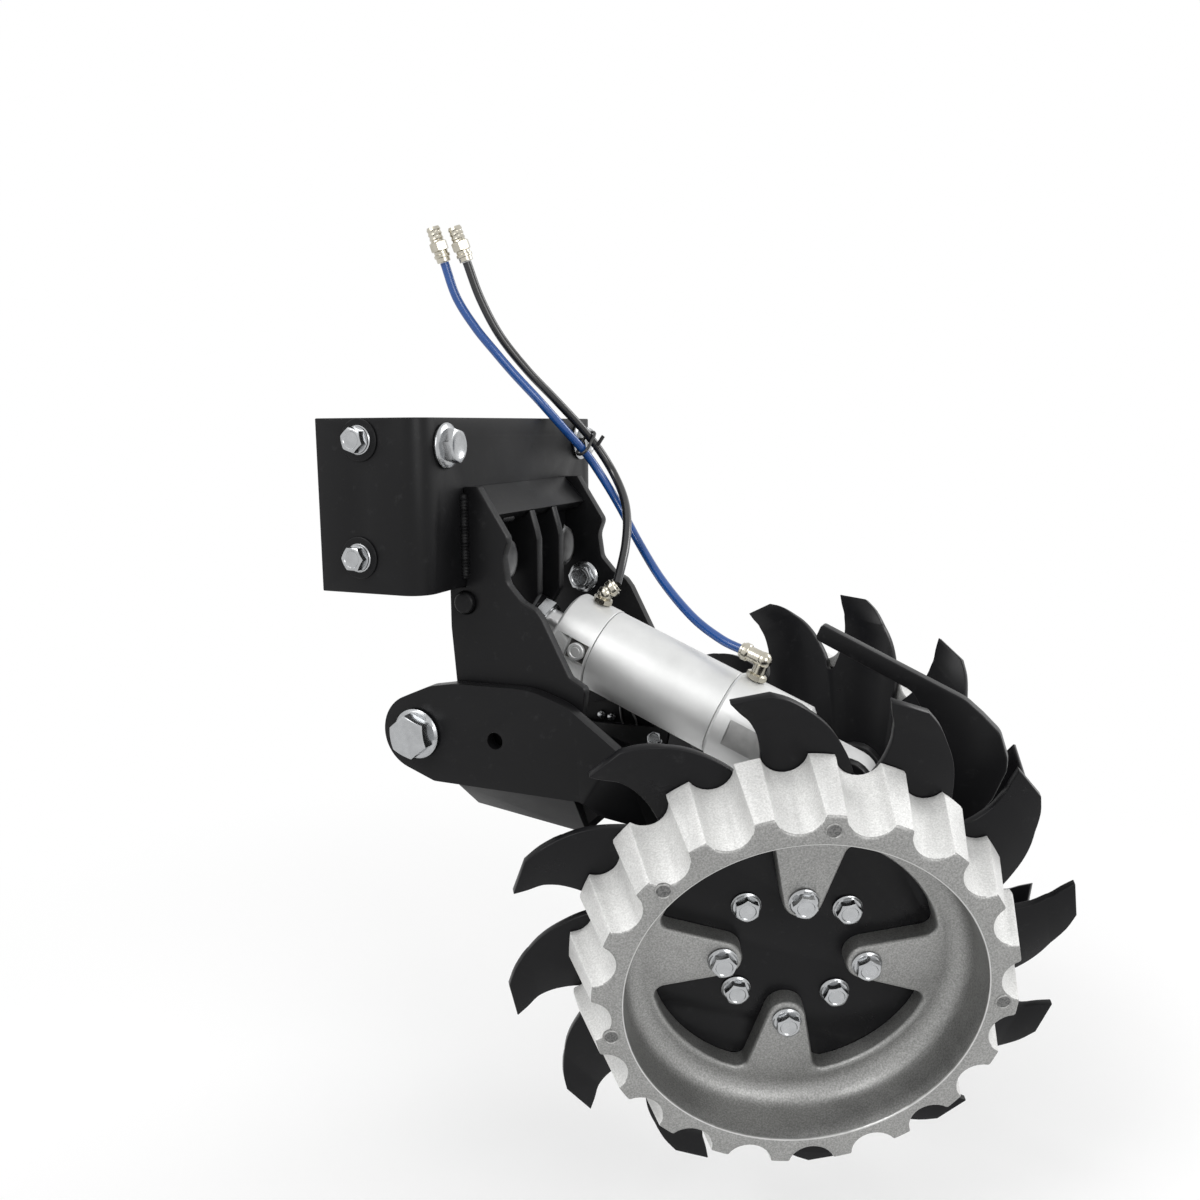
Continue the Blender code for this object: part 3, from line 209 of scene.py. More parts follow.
# %% Air lines
AIR_LINE_D = 0.00635
TIE_Z = 0.030                  # the height of the tie, where each line stops riding on the mount
BLUE_ROUTE = [
    (-0.0468, 0.0000, 0.1598), (-0.0415, 0.006, 0.1368), (-0.0304, 0.012, 0.1164),
    (-0.0180, 0.018, 0.0993), (-0.0067, 0.025, 0.0838), (0.0088, 0.035, 0.0641),
    (0.0222, 0.050, 0.0431), (0.0304, 0.066, 0.0268), (0.0400, 0.074, 0.0090),
    (0.0551, 0.072, -0.0129), (0.0740, 0.060, -0.0362), (0.0995, 0.041, -0.0610),
    (0.1285, 0.021, -0.0815), (0.1529, 0.008, -0.0929), (0.1700, 0.002, -0.0980)]
BLACK_ROUTE = [
    (-0.0325, 0.0060, 0.1602), (-0.0262, 0.013, 0.1355), (-0.0160, 0.022, 0.1105),
    (-0.0010, 0.034, 0.0868), (0.0130, 0.049, 0.0670), (0.0257, 0.066, 0.0470),
    (0.0350, 0.0765, 0.0312), (0.0462, 0.079, 0.0130), (0.0600, 0.066, -0.0042),
    (0.0700, 0.048, -0.0190), (0.0762, 0.030, -0.0346), (0.0792, 0.015, -0.0475),
    (0.0800, 0.004, -0.0595)]


def smooth_line(points, steps=8):
    """Points on a smooth curve through the given ones."""
    points = [Vector(p) for p in points]
    ends = [points[0] * 2 - points[1]] + points + [points[-1] * 2 - points[-2]]
    line = []
    for i in range(1, len(ends) - 2):
        a, b, c, d = ends[i - 1:i + 3]
        for step in range(steps):
            t = step / steps
            line.append(0.5 * (2 * b + (c - a) * t + (2 * a - 5 * b + 4 * c - d) * t * t
                               + (3 * b - a - 3 * c + d) * t ** 3))
    return line + [points[-1]]


def swept_tube(name, line, radius, sides=20):
    """A round tube along a line, made from a bevelled curve and turned into a mesh."""
    curve = bpy.data.curves.new(name, "CURVE")
    curve.dimensions = "3D"
    curve.bevel_depth = radius
    curve.bevel_resolution = max(0, sides // 4 - 1)
    curve.use_fill_caps = True
    spline = curve.splines.new("POLY")
    spline.points.add(len(line) - 1)
    for point, place in zip(spline.points, line):
        point.co = (*place, 1)
    source = bpy.data.objects.new(name, curve)
    bpy.context.scene.collection.objects.link(source)
    bpy.context.view_layer.update()
    evaluated = source.evaluated_get(bpy.context.evaluated_depsgraph_get())
    mesh = bpy.data.meshes.new_from_object(evaluated)
    bpy.data.objects.remove(source)
    tube = bmesh.new()
    tube.from_mesh(mesh)
    bmesh.ops.remove_doubles(tube, verts=tube.verts, dist=1e-6)
    bmesh.ops.recalc_face_normals(tube, faces=tube.faces)
    return piece(name, tube, mesh)


def piece(name, shape, mesh=None, sharp=35):
    """Turns a bmesh into an object in the scene, smooth but for its sharp edges."""
    mesh = mesh or bpy.data.meshes.new(name)
    shape.to_mesh(mesh)
    shape.free()
    mesh.shade_smooth()
    mesh.set_sharp_from_angle(angle=math.radians(sharp))
    made = bpy.data.objects.new(name, mesh)
    bpy.context.scene.collection.objects.link(made)
    return made


def line_length(line):
    return sum((q - p).length for p, q in zip(line, line[1:]))


air_lines = {}
for colour, route in (("blue", BLUE_ROUTE), ("black", BLACK_ROUTE)):
    line = smooth_line(route)
    tube = swept_tube(colour + "_line", line, AIR_LINE_D / 2)
    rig.replaces(tube, colour + "_air_line")
    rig.slot(tube, colour + "_nylon")
    tied = min(line, key=lambda p: abs(p.z - TIE_Z))
    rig.blend(tube, "mount", "arm", tied, line[-1])
    air_lines[colour] = tube, line
    print(colour, "air line:", round(line_length(line), 3), "m")

# %% [markdown]
# A plain pale floor lies under the lowest tooth of the lowered arm, before a plain pale world. Both are
# white where the camera or a mirror-like surface sees them and dimmer as a light, so nothing clips.
# Near the part the floor is lit and keeps the shadow; further out it fades into the white, so that
# no horizon cuts through the picture.

# %% Floor and world
middle = Vector((0.15, 0, -0.15))
LOWERED = 0.062                # how far the wheels reach down when the arm is at its lower stop
FLOOR_Z = packed_box[0][2] - LOWERED
SKY_AS_LIGHT, FLOOR_GLOW = 0.62, 0.16
FADE_FROM, FADE_TO = 0.25, 0.95            # the lit floor turns white between these distances
floor_shape = bmesh.new()
bmesh.ops.create_grid(floor_shape, x_segments=1, y_segments=1, size=8)
bmesh.ops.translate(floor_shape, verts=floor_shape.verts, vec=(0, 0, FLOOR_Z))
floor = piece("floor", floor_shape)
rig.stage(floor)

scene = bpy.context.scene
scene.view_settings.view_transform = "Standard"
world = bpy.data.worlds.new("pale_room")
scene.world = world
world.use_nodes = True


def seen_directly(tree):
    """1 for a ray from the camera or off a shiny surface, 0 for the light on dull surfaces."""
    path = tree.nodes.new("ShaderNodeLightPath")
    value = path.outputs["Is Camera Ray"]
    for other in ("Is Glossy Ray", "Is Transmission Ray"):
        either = tree.nodes.new("ShaderNodeMath")
        either.operation = "MAXIMUM"
        tree.links.new(value, either.inputs[0])
        tree.links.new(path.outputs[other], either.inputs[1])
        value = either.outputs[0]
    return value


tree = world.node_tree
sky = tree.nodes["Background"]
sky.inputs["Color"].default_value = (1, 1, 1, 1)
strength = tree.nodes.new("ShaderNodeMapRange")
strength.inputs["To Min"].default_value = SKY_AS_LIGHT
strength.inputs["To Max"].default_value = 1.0
tree.links.new(seen_directly(tree), strength.inputs["Value"])
tree.links.new(strength.outputs["Result"], sky.inputs["Strength"])

pale = bpy.data.materials.new("pale_floor")
pale.use_nodes = True
tree = pale.node_tree
tree.nodes.remove(tree.nodes["Principled BSDF"])


def shader_node(kind, **values):
    made = tree.nodes.new(kind)
    for key, value in values.items():
        made.inputs[key].default_value = value
    return made


def mixed(factor, first, second):
    made = tree.nodes.new("ShaderNodeMixShader")
    tree.links.new(factor, made.inputs[0])
    tree.links.new(first, made.inputs[1])
    tree.links.new(second, made.inputs[2])
    return made.outputs[0]


lit = shader_node("ShaderNodeBsdfDiffuse", Color=(0.84, 0.84, 0.84, 1))
lift = shader_node("ShaderNodeEmission", Strength=FLOOR_GLOW)
white = shader_node("ShaderNodeEmission", Strength=1.0)
lifted = tree.nodes.new("ShaderNodeAddShader")
tree.links.new(lit.outputs[0], lifted.inputs[0])
tree.links.new(lift.outputs[0], lifted.inputs[1])
place = tree.nodes.new("ShaderNodeTexCoord")
away = tree.nodes.new("ShaderNodeVectorMath")
away.operation = "DISTANCE"
away.inputs[1].default_value = (middle.x, middle.y, FLOOR_Z)
tree.links.new(place.outputs["Object"], away.inputs[0])
fade = tree.nodes.new("ShaderNodeMapRange")
fade.interpolation_type = "SMOOTHSTEP"
fade.inputs["From Min"].default_value = FADE_FROM
fade.inputs["From Max"].default_value = FADE_TO
tree.links.new(away.outputs["Value"], fade.inputs["Value"])
shown = mixed(fade.outputs["Result"], lifted.outputs[0], white.outputs[0])
tree.links.new(mixed(seen_directly(tree), lit.outputs[0], shown),
               tree.nodes["Material Output"].inputs["Surface"])
floor.data.materials.append(pale)

# %% [markdown]
# Three large soft lamps shape the black steel: one high on the near side, one low ahead of the
# wheels, and one behind that draws a rim along the plates' edges.

# %% Lamps


def lamp(name, place, target, size, watts):
    light = bpy.data.lights.new(name, "AREA")
    light.size = size
    light.energy = watts
    made = bpy.data.objects.new(name, light)
    made.location = place
    made.rotation_euler = (Vector(target) - Vector(place)).to_track_quat("-Z", "Y").to_euler()
    bpy.context.scene.collection.objects.link(made)


lamp("key_lamp", (-0.5, -1.3, 1.2), middle, 0.9, 16)
lamp("front_lamp", (1.5, -1.0, 0.5), middle, 0.8, 9)
lamp("back_lamp", (1.4, 1.3, 0.9), middle, 0.8, 12)

# %% [markdown]
# A finish is more than a colour. Each helper below starts a Principled shader, and then gives its
# roughness and its surface a fine pattern in object space, so that it neither slides in other
# views nor stretches over a bent plate.

# %% Helpers for finishes


def finish_named(name, colour, roughness, metallic=0.0, specular=0.5, coat=0.0):
    material = bpy.data.materials.new(name)
    material.use_nodes = True
    shader = material.node_tree.nodes["Principled BSDF"]
    shader.inputs["Base Color"].default_value = (*colour, 1)
    shader.inputs["Roughness"].default_value = roughness
    shader.inputs["Metallic"].default_value = metallic
    shader.inputs["Specular IOR Level"].default_value = specular
    shader.inputs["Coat Weight"].default_value = coat
    material.diffuse_color = (*colour, 1)
    return material


def add_node(material, kind, **values):
    made = material.node_tree.nodes.new(kind)
    for key, value in values.items():
        if key in made.inputs:
            made.inputs[key].default_value = value
        else:
            setattr(made, key, value)
    return made


def placed_coordinates(material, origin=(0, 0, 0), turn=(0, 0, 0), scale=(1, 1, 1)):
    """Object coordinates moved to an origin, turned and scaled."""
    where = add_node(material, "ShaderNodeTexCoord")
    shift = add_node(material, "ShaderNodeMapping")
    shift.vector_type = "TEXTURE"
    shift.inputs["Location"].default_value = origin
    shift.inputs["Rotation"].default_value = turn
    shift.inputs["Scale"].default_value = scale
    material.node_tree.links.new(where.outputs["Object"], shift.inputs["Vector"])
    return shift.outputs["Vector"]


def noise(material, where, size, detail=3.0, rough=0.55):
    """Noise whose features are about `size` metres across."""
    made = add_node(material, "ShaderNodeTexNoise", Scale=1 / size, Detail=detail, Roughness=rough)
    material.node_tree.links.new(where, made.inputs["Vector"])
    return made.outputs["Fac"]


def spread(material, value, low, high, start=0.3, end=0.7):
    made = add_node(material, "ShaderNodeMapRange")
    made.inputs["From Min"].default_value = start
    made.inputs["From Max"].default_value = end
    made.inputs["To Min"].default_value = low
    made.inputs["To Max"].default_value = high
    material.node_tree.links.new(value, made.inputs["Value"])
    return made.outputs["Result"]


def colour_socket(sockets, name):
    """A mix node has a socket of each name for every kind of data; this is the colour's."""
    return next(s for s in sockets if s.name == name and s.type == "RGBA")


def tint(material, value, dark, light):
    made = add_node(material, "ShaderNodeMix", data_type="RGBA")
    colour_socket(made.inputs, "A").default_value = (*dark, 1)
    colour_socket(made.inputs, "B").default_value = (*light, 1)
    material.node_tree.links.new(value, made.inputs["Factor"])
    return colour_socket(made.outputs, "Result")


def connect(material, output, socket):
    shader = material.node_tree.nodes["Principled BSDF"]
    material.node_tree.links.new(output, shader.inputs[socket])


def emboss(material, height, strength, distance):
    """Bumps the surface by a height pattern, over any bump it already has."""
    shader = material.node_tree.nodes["Principled BSDF"]
    made = add_node(material, "ShaderNodeBump")
    made.inputs["Strength"].default_value = strength
    made.inputs["Distance"].default_value = distance
    material.node_tree.links.new(height, made.inputs["Height"])
    before = shader.inputs["Normal"].links
    if before:
        material.node_tree.links.new(before[0].from_socket, made.inputs["Normal"])
    material.node_tree.links.new(made.outputs["Normal"], shader.inputs["Normal"])


# %% [markdown]
# The steel is powder coated in black. Its gloss is low and its skin is finely pebbled, so it
# catches the light as a grey speckle, and it has lighter scuffs where soil and hands rub it.

# %% Black powder coat


def powder_coat(name, dark, light, roughness):
    coat = finish_named(name, dark, roughness, specular=0.17)
    where = placed_coordinates(coat)
    pebble = noise(coat, where, 0.0009, 2.0)
    cloud = noise(coat, where, 0.045, 4.0)
    scuff = noise(coat, where, 0.009, 8.0, 0.75)
    connect(coat, tint(coat, spread(coat, scuff, 0.0, 1.0, 0.58, 0.80), dark, light), "Base Color")
    connect(coat, spread(coat, cloud, roughness - 0.06, roughness + 0.10), "Roughness")
    emboss(coat, pebble, 0.30, 0.00012)
    return coat


black_coat = powder_coat("black_powder_coat", (0.0062, 0.0062, 0.0068), (0.022, 0.022, 0.023), 0.36)
disc_coat = powder_coat("disc_powder_coat", (0.0050, 0.0050, 0.0058), (0.019, 0.019, 0.020), 0.30)

# %% [markdown]
# The floaters are sand cast aluminium. Sand leaves a dull grain of about half a millimetre and a
# faint cloudiness of tone. Metal shows what is round it, so most of its tone comes from the room;
# beyond that, the scalloped flanks take a brighter copy of the finish as painted light from above,
# and the front face and bowl a dimmer copy as painted shade.

# %% Metals


def cast_aluminium(name, dark, light, roughness, grain_depth):
    cast = finish_named(name, light, roughness, 0.9)
    where = placed_coordinates(cast)
    grain = noise(cast, where, 0.0010, 3.0, 0.65)
    cloud = noise(cast, where, 0.022, 5.0, 0.6)
    grained = tint(cast, spread(cast, grain, 0.0, 1.0, 0.35, 0.65), dark, light)
    clouded = tint(cast, spread(cast, cloud, 0.0, 1.0), (0.88,) * 3, (1, 1, 1))
    both = add_node(cast, "ShaderNodeMix", data_type="RGBA", blend_type="MULTIPLY")
    both.inputs[0].default_value = 1.0
    cast.node_tree.links.new(grained, colour_socket(both.inputs, "A"))
    cast.node_tree.links.new(clouded, colour_socket(both.inputs, "B"))
    connect(cast, colour_socket(both.outputs, "Result"), "Base Color")
    connect(cast, spread(cast, cloud, roughness - 0.05, roughness + 0.07), "Roughness")
    emboss(cast, grain, grain_depth, 0.0002)
    return cast


def worked_metal(name, colour, roughness, grain_size=0.0008, strength=0.12, spread_by=0.06):
    metal = finish_named(name, colour, roughness, 1.0)
    where = placed_coordinates(metal)
    fine = noise(metal, where, grain_size, 3.0)
    cloud = noise(metal, where, 0.006, 4.0)
    dim = tuple(c * 0.82 for c in colour)
    connect(metal, tint(metal, spread(metal, cloud, 0.0, 1.0), dim, colour), "Base Color")
    connect(metal, spread(metal, cloud, roughness - spread_by, roughness + spread_by), "Roughness")
    emboss(metal, fine, strength, 0.00008)
    return metal


# Lit and shaded copies of one cast finish: the front face and bowl are painted dimmer as painted shade, and the
# scalloped flanks are painted brighter as painted light from above.
shaded_cast_face = cast_aluminium("cast_aluminium", (0.25, 0.25, 0.245), (0.41, 0.41, 0.40), 0.48, 0.5)
mark_shade = cast_aluminium("mark_shade", (0.10, 0.10, 0.10), (0.24, 0.24, 0.235), 0.5, 0.5)
cast_flanks = cast_aluminium("cast_flanks", (0.66, 0.66, 0.65), (0.83, 0.83, 0.82), 0.74, 0.35)
WORKED = {                     # slot: name, colour, roughness, grain, its strength, spread
    "zinc": ("zinc_plate", (0.47, 0.48, 0.49), 0.25),
    # darker zinc, partly dirt and partly painted shade, for pieces that sit low between plates
    "aged_zinc": ("aged_zinc", (0.16, 0.16, 0.16), 0.38),
    "recess_shade": ("recess_shade", (0.22, 0.21, 0.20), 0.45),
    "milled_flat": ("milled_flat", (0.46, 0.46, 0.455), 0.42),
    "chrome": ("polished_rod", (0.62, 0.62, 0.62), 0.34, 0.002, 0.02, 0.04),
    "dark_steel": ("dark_steel", (0.12, 0.12, 0.13), 0.42),
    "bronze": ("oiled_bronze", (0.55, 0.40, 0.20), 0.35),
    "cut_lip": ("cut_lip", (0.62, 0.62, 0.61), 0.34),
    "nickel": ("nickel_plate", (0.56, 0.53, 0.45), 0.24, 0.001, 0.05)}
FINISH = {slot: worked_metal(*look) for slot, look in WORKED.items()}
HALF_METAL = 0.5
FINISH["milled_flat"].node_tree.nodes["Principled BSDF"].inputs["Metallic"].default_value = HALF_METAL
FINISH |= {"cast_aluminium": shaded_cast_face, "cast_flanks": cast_flanks, "mark_shade": mark_shade,
           "black_paint": black_coat, "guard_paint": black_coat, "disc_paint": disc_coat}

# %% [markdown]
# The cylinder's barrel and caps are turned aluminium with a satin finish. Fine rings from the tool
# run round its axis, so the pattern is noise squeezed along the axis and drawn out across it.

# %% Turned aluminium of the cylinder
ROD_PIN = Vector((0.002, 0.0, -0.076))
CYLINDER_PIN = Vector((0.242, 0.0, -0.1755))
ALONG = (CYLINDER_PIN - ROD_PIN).normalized()
tilt = -math.atan2(ALONG.z, ALONG.x)


def turned_aluminium(name):
    satin = finish_named(name, (0.72, 0.725, 0.72), 0.48, 0.50)
    where = placed_coordinates(satin, ROD_PIN, (0, tilt, 0), (0.004, 1, 1))
    rings = noise(satin, where, 0.06, 4.0, 0.7)
    cloud = noise(satin, placed_coordinates(satin), 0.02, 4.0)
    connect(satin, spread(satin, rings, 0.42, 0.52), "Roughness")
    connect(satin, tint(satin, spread(satin, cloud, 0.0, 1.0), (0.66, 0.665, 0.66), (0.74, 0.745, 0.74)),
            "Base Color")
    emboss(satin, rings, 0.04, 0.0001)
    return satin


FINISH["cylinder_aluminium"] = turned_aluminium("turned_aluminium")

# %% [markdown]
# Nylon tube is glossy and even. The tie is a duller nylon.

# %% Nylon


def nylon(name, colour, roughness):
    plastic = finish_named(name, colour, roughness, coat=0.25)
    where = placed_coordinates(plastic)
    cloud = noise(plastic, where, 0.012, 3.0)
    lighter = tuple(min(1.0, c * 1.25 + 0.002) for c in colour)
    connect(plastic, tint(plastic, spread(plastic, cloud, 0.0, 1.0), colour, lighter), "Base Color")
    emboss(plastic, noise(plastic, where, 0.002, 2.0), 0.05, 0.0001)
    return plastic


FINISH |= {"blue_nylon": nylon("blue_nylon", (0.008, 0.060, 0.235), 0.22),
           "black_nylon": nylon("black_nylon", (0.008, 0.008, 0.009), 0.28),
           "tie_nylon": nylon("tie_nylon", (0.012, 0.012, 0.012), 0.5)}


def dress(made, slot):
    made.data.materials.clear()
    made.data.materials.append(FINISH[slot])
    return made


for colour, (tube, _) in air_lines.items():
    dress(tube, colour + "_nylon")

# %% [markdown]
# Most pieces of this machine are turned or built from rings: a bolt, a hub, a floater. One small
# set of tools makes them. A ring of vertices is extruded to the next level, and each level gives the
# ring its size and height, so a hexagon's chamfer is only a level whose height follows the angle.

# %% Tools for rings and turned shapes
GAP = 0.0003                   # air between two pieces that would otherwise share a face


def ring_edges(shape, ring):
    return [shape.edges.get((ring[i - 1], ring[i])) for i in range(len(ring))]


def next_ring(shape, ring):
    """Extrudes a closed ring of vertices and gives the new ring in the same order."""
    made = bmesh.ops.extrude_edge_only(shape, edges=ring_edges(shape, ring))["geom"]
    fresh = {v for v in made if isinstance(v, bmesh.types.BMVert)}
    return [next(e.other_vert(v) for e in v.link_edges if e.other_vert(v) in fresh) for v in ring]


def grown(shape, levels, count):
    """Rings of `count` vertices, one extruded from the next; a level places its k-th vertex."""
    ring = bmesh.ops.create_circle(shape, segments=count, radius=1.0)["verts"]
    rings = []
    for step, level in enumerate(levels):
        if step:
            ring = next_ring(shape, ring)
        for k, vert in enumerate(ring):
            vert.co = level(k)
        rings.append(ring)
    return rings


def turned(profile, steps=48):
    """A body from (radius, height) levels; either may be a function of the angle."""
    def level(radius, height):
        def place(k):
            angle = 2 * math.pi * k / steps
            r = radius(angle) if callable(radius) else radius
            z = height(angle) if callable(height) else height
            return Vector((r * math.cos(angle), r * math.sin(angle), z))
        return place
    shape = bmesh.new()
    grown(shape, [level(r, z) for r, z in profile], steps)
    bmesh.ops.remove_doubles(shape, verts=shape.verts, dist=1e-7)
    bmesh.ops.recalc_face_normals(shape, faces=shape.faces)
    return shape


def placed(shape, place):
    """Moves a shape to its place in the part; a mirroring place turns its faces round again."""
    bmesh.ops.transform(shape, matrix=place, verts=shape.verts)
    if place.determinant() < 0:
        bmesh.ops.reverse_faces(shape, faces=shape.faces)
    return shape


def round_edges(shape, edges, width, segments):
    bmesh.ops.bevel(shape, geom=edges, offset=width, segments=segments, profile=0.5, affect="EDGES",
                    clamp_overlap=True, material=-1)


def joined(shapes):
    whole = bmesh.new()
    for shape in shapes:
        part = bpy.data.meshes.new("part")
        shape.to_mesh(part)
        shape.free()
        whole.from_mesh(part)
        bpy.data.meshes.remove(part)
    return whole


def toward(point, direction, spin=0.0):
    """A frame at a point with its Z along a direction."""
    turn = Vector(direction).to_track_quat("Z", "Y").to_matrix().to_4x4()
    return Matrix.Translation(point) @ turn @ Matrix.Rotation(spin, 4, "Z")


def fitted(name, shape, body, slot, stands_for=(), finish=None, sharp=35):
    """Makes a shape a finished piece that rides on a body."""
    made = piece(name, shape, sharp=sharp)
    made.data.materials.append(finish or FINISH[slot])
    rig.ride(made, body)
    for node in stands_for:
        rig.replaces(made, node)
    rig.slot(made, slot)
    return made


def hex_reach(across):
    """How far a hexagon's side lies from its middle, by direction."""
    return lambda angle: across / 2 / math.cos((angle + math.pi / 6) % (math.pi / 3) - math.pi / 6)


def hex_chamfer(across, height, down=1):
    """Where the cone of a hexagon's chamfer meets its sides."""
    reach = hex_reach(across)
    return lambda angle: height - down * (reach(angle) - across * 0.475) * 0.6


def hexagon(across, low, high):
    """The two levels of a hexagon whose corners are chamfered at both ends."""
    return [(hex_reach(across), hex_chamfer(across, low, -1)),
            (hex_reach(across), hex_chamfer(across, high))]


def bolt_shape(across, head, flange, washer=0.002, shank=0.005, length=0.02):
    """A flanged bolt with its seat at z = 0 and a shallow dish in its head."""
    return turned([
        (0, -length), (shank - 0.001, -length), (shank, -length + 0.001), (shank, 0),
        (flange - 0.0004, 0), (flange, 0.0004), (flange, washer * 0.6), (flange - 0.0006, washer * 0.85),
        (across * 0.60, washer * 1.25), (hex_reach(across), washer * 1.25 + 0.0002),
        (hex_reach(across), hex_chamfer(across, head)), (across * 0.475, head),
        (across * 0.40, head), (across * 0.36, head - 0.0005), (0, head - 0.0006)])


def nut_shape(across, height, bore):
    return turned([
        (bore + 0.0008, 0), (across * 0.475, 0), *hexagon(across, 0, height), (across * 0.475, height),
        (bore + 0.0008, height), (bore, height - 0.0008), (bore, 0.0008), (bore + 0.0008, 0)])


# %% [markdown]
# Each wheel has its own frame: Z is the outward normal, leaning out and down, and the far wheel is
# the near one mirrored. The floater is a casting, so it is grown as one skin: the pocket at the
# back, the scalloped cone, the front face, the bowl and its fillet. Its floor is filled round four
# rounded spokes. Rings follow the same points of the scallops, which keeps every groove crisp.

# %% Wheels' frames and the floater castings
TOE, CAMBER = math.radians(25.0), math.radians(11.5)
WHEEL_OUT = 0.086              # from the middle plane to a wheel's centre
WHEELS = {"near": (Vector((0.226, -WHEEL_OUT, -0.253)), -1, 15.0),
          "far": (Vector((0.202, WHEEL_OUT, -0.239)), 1, 1.7)}     # centre, side, first tip's angle
FIRST_LUG, FIRST_SPOKE = 86.4, -3.0
SCALLOPS, GROOVE_STEPS, LUG_STEPS = 20, 12, 3
GROOVE_RADIUS, GROOVE_OUT = 0.0135, 0.0035
CONE_BACK, CONE_FRONT, RIM_DEPTH = 0.1283, 0.1163, 0.044
WEB_Z, BACK_Z = 0.012, 0.0003


def wheel_place(name):
    centre, side, _ = WHEELS[name]
    forward = Vector((math.cos(TOE), side * -math.sin(TOE), 0))
    normal = Vector((math.sin(TOE) * math.cos(CAMBER), side * math.cos(TOE) * math.cos(CAMBER),
                     -math.sin(CAMBER)))
    place = Matrix((forward, normal.cross(forward) * -side, normal)).transposed().to_4x4()
    place.translation = centre
    return place


def rim_point(k, cone, height):
    """The k-th point of the scalloped rim, whose lugs reach `cone` from the axis."""
    groove, step = divmod(k, GROOVE_STEPS + LUG_STEPS)
    middle = math.radians(FIRST_LUG + (groove + 0.5) * 360 / SCALLOPS)
    sweep = math.acos(GROOVE_OUT / GROOVE_RADIUS)
    half = GROOVE_RADIUS * math.sin(sweep)
    if step <= GROOVE_STEPS:
        turn = sweep * (2 * step / GROOVE_STEPS - 1)
        x, y = cone + GROOVE_OUT - GROOVE_RADIUS * math.cos(turn), GROOVE_RADIUS * math.sin(turn)
    else:
        edge = math.atan2(half, cone)
        turn = edge + (2 * math.pi / SCALLOPS - 2 * edge) * (step - GROOVE_STEPS) / LUG_STEPS
        x, y = math.hypot(cone, half) * math.cos(turn), math.hypot(cone, half) * math.sin(turn)
    return Matrix.Rotation(middle, 3, "Z") @ Vector((x, y, height))


def rim(cone, height):
    return lambda k: rim_point(k, cone, height)


def round_level(radius, height):
    def place(k):
        spot = rim_point(k, CONE_FRONT, 0)
        return Vector((*(spot.xy.normalized() * radius), height))
    return place


def rounded(points, count=6):
    """Closed outline. A point with a third number gets its corner rounded to that radius."""
    outline = []
    for i, point in enumerate(points):
        here = Vector(point[:2])
        if len(point) == 2:
            outline.append(here)
            continue
        before = Vector(points[i - 1][:2]) - here
        after = Vector(points[(i + 1) % len(points)][:2]) - here
        half = before.angle(after) / 2
        back = min(point[2] / math.tan(half), before.length * 0.48, after.length * 0.48)
        radius = back * math.tan(half)
        heart = here + (before.normalized() + after.normalized()).normalized() * radius / math.sin(half)
        first, last = here + before.normalized() * back - heart, here + after.normalized() * back - heart
        sweep = first.angle_signed(last)
        outline += [heart + Matrix.Rotation(-sweep * step / count, 2) @ first
                    for step in range(count + 1)]
    return outline


def arc(centre, radius, start, end, count):
    steps = [math.radians(start + (end - start) * i / count) for i in range(count + 1)]
    return [(centre[0] + radius * math.cos(t), centre[1] + radius * math.sin(t)) for t in steps]


def round_end(centre, radius, before, after, count=16):
    """Points round an eye, from the tangent of the point before to that of the point after."""
    ends = []
    for point, side in ((before, -1), (after, 1)):
        away = Vector(point[:2]) - Vector(centre)
        ends.append(math.atan2(away.y, away.x) + side * math.acos(min(1.0, radius / away.length)))
    start, end = ends
    while end > start:
        end -= 2 * math.pi
    return arc(centre, radius, math.degrees(start), math.degrees(end), count)


def spoke_opening(opening=0.083, half=0.0215, tip=0.0415, tip_radius=0.0115):
    outline = []
    lean = math.degrees(math.asin(half / opening))
    root = opening * math.cos(math.radians(lean))
    for spoke in range(4):
        turn = FIRST_SPOKE + spoke * 90
        side = [(root, -half, 0.009)] + round_end((tip, 0), tip_radius, (root, -half), (root, half))
        side += [(root, half, 0.009)]
        c, s = math.cos(math.radians(turn)), math.sin(math.radians(turn))
        outline += [(x * c - y * s, x * s + y * c, *more) for x, y, *more in side]
        outline += arc((0, 0), opening, turn + lean + 10, turn + 80 - lean, 14)
    return rounded(outline, 7)


def outset(outline, by):
    """An outline moved to its right by a distance."""
    moved = []
    for i, point in enumerate(outline):
        flow = (outline[(i + 1) % len(outline)] - outline[i - 1]).normalized()
        moved.append(point + Vector((flow.y, -flow.x)) * by)
    return moved


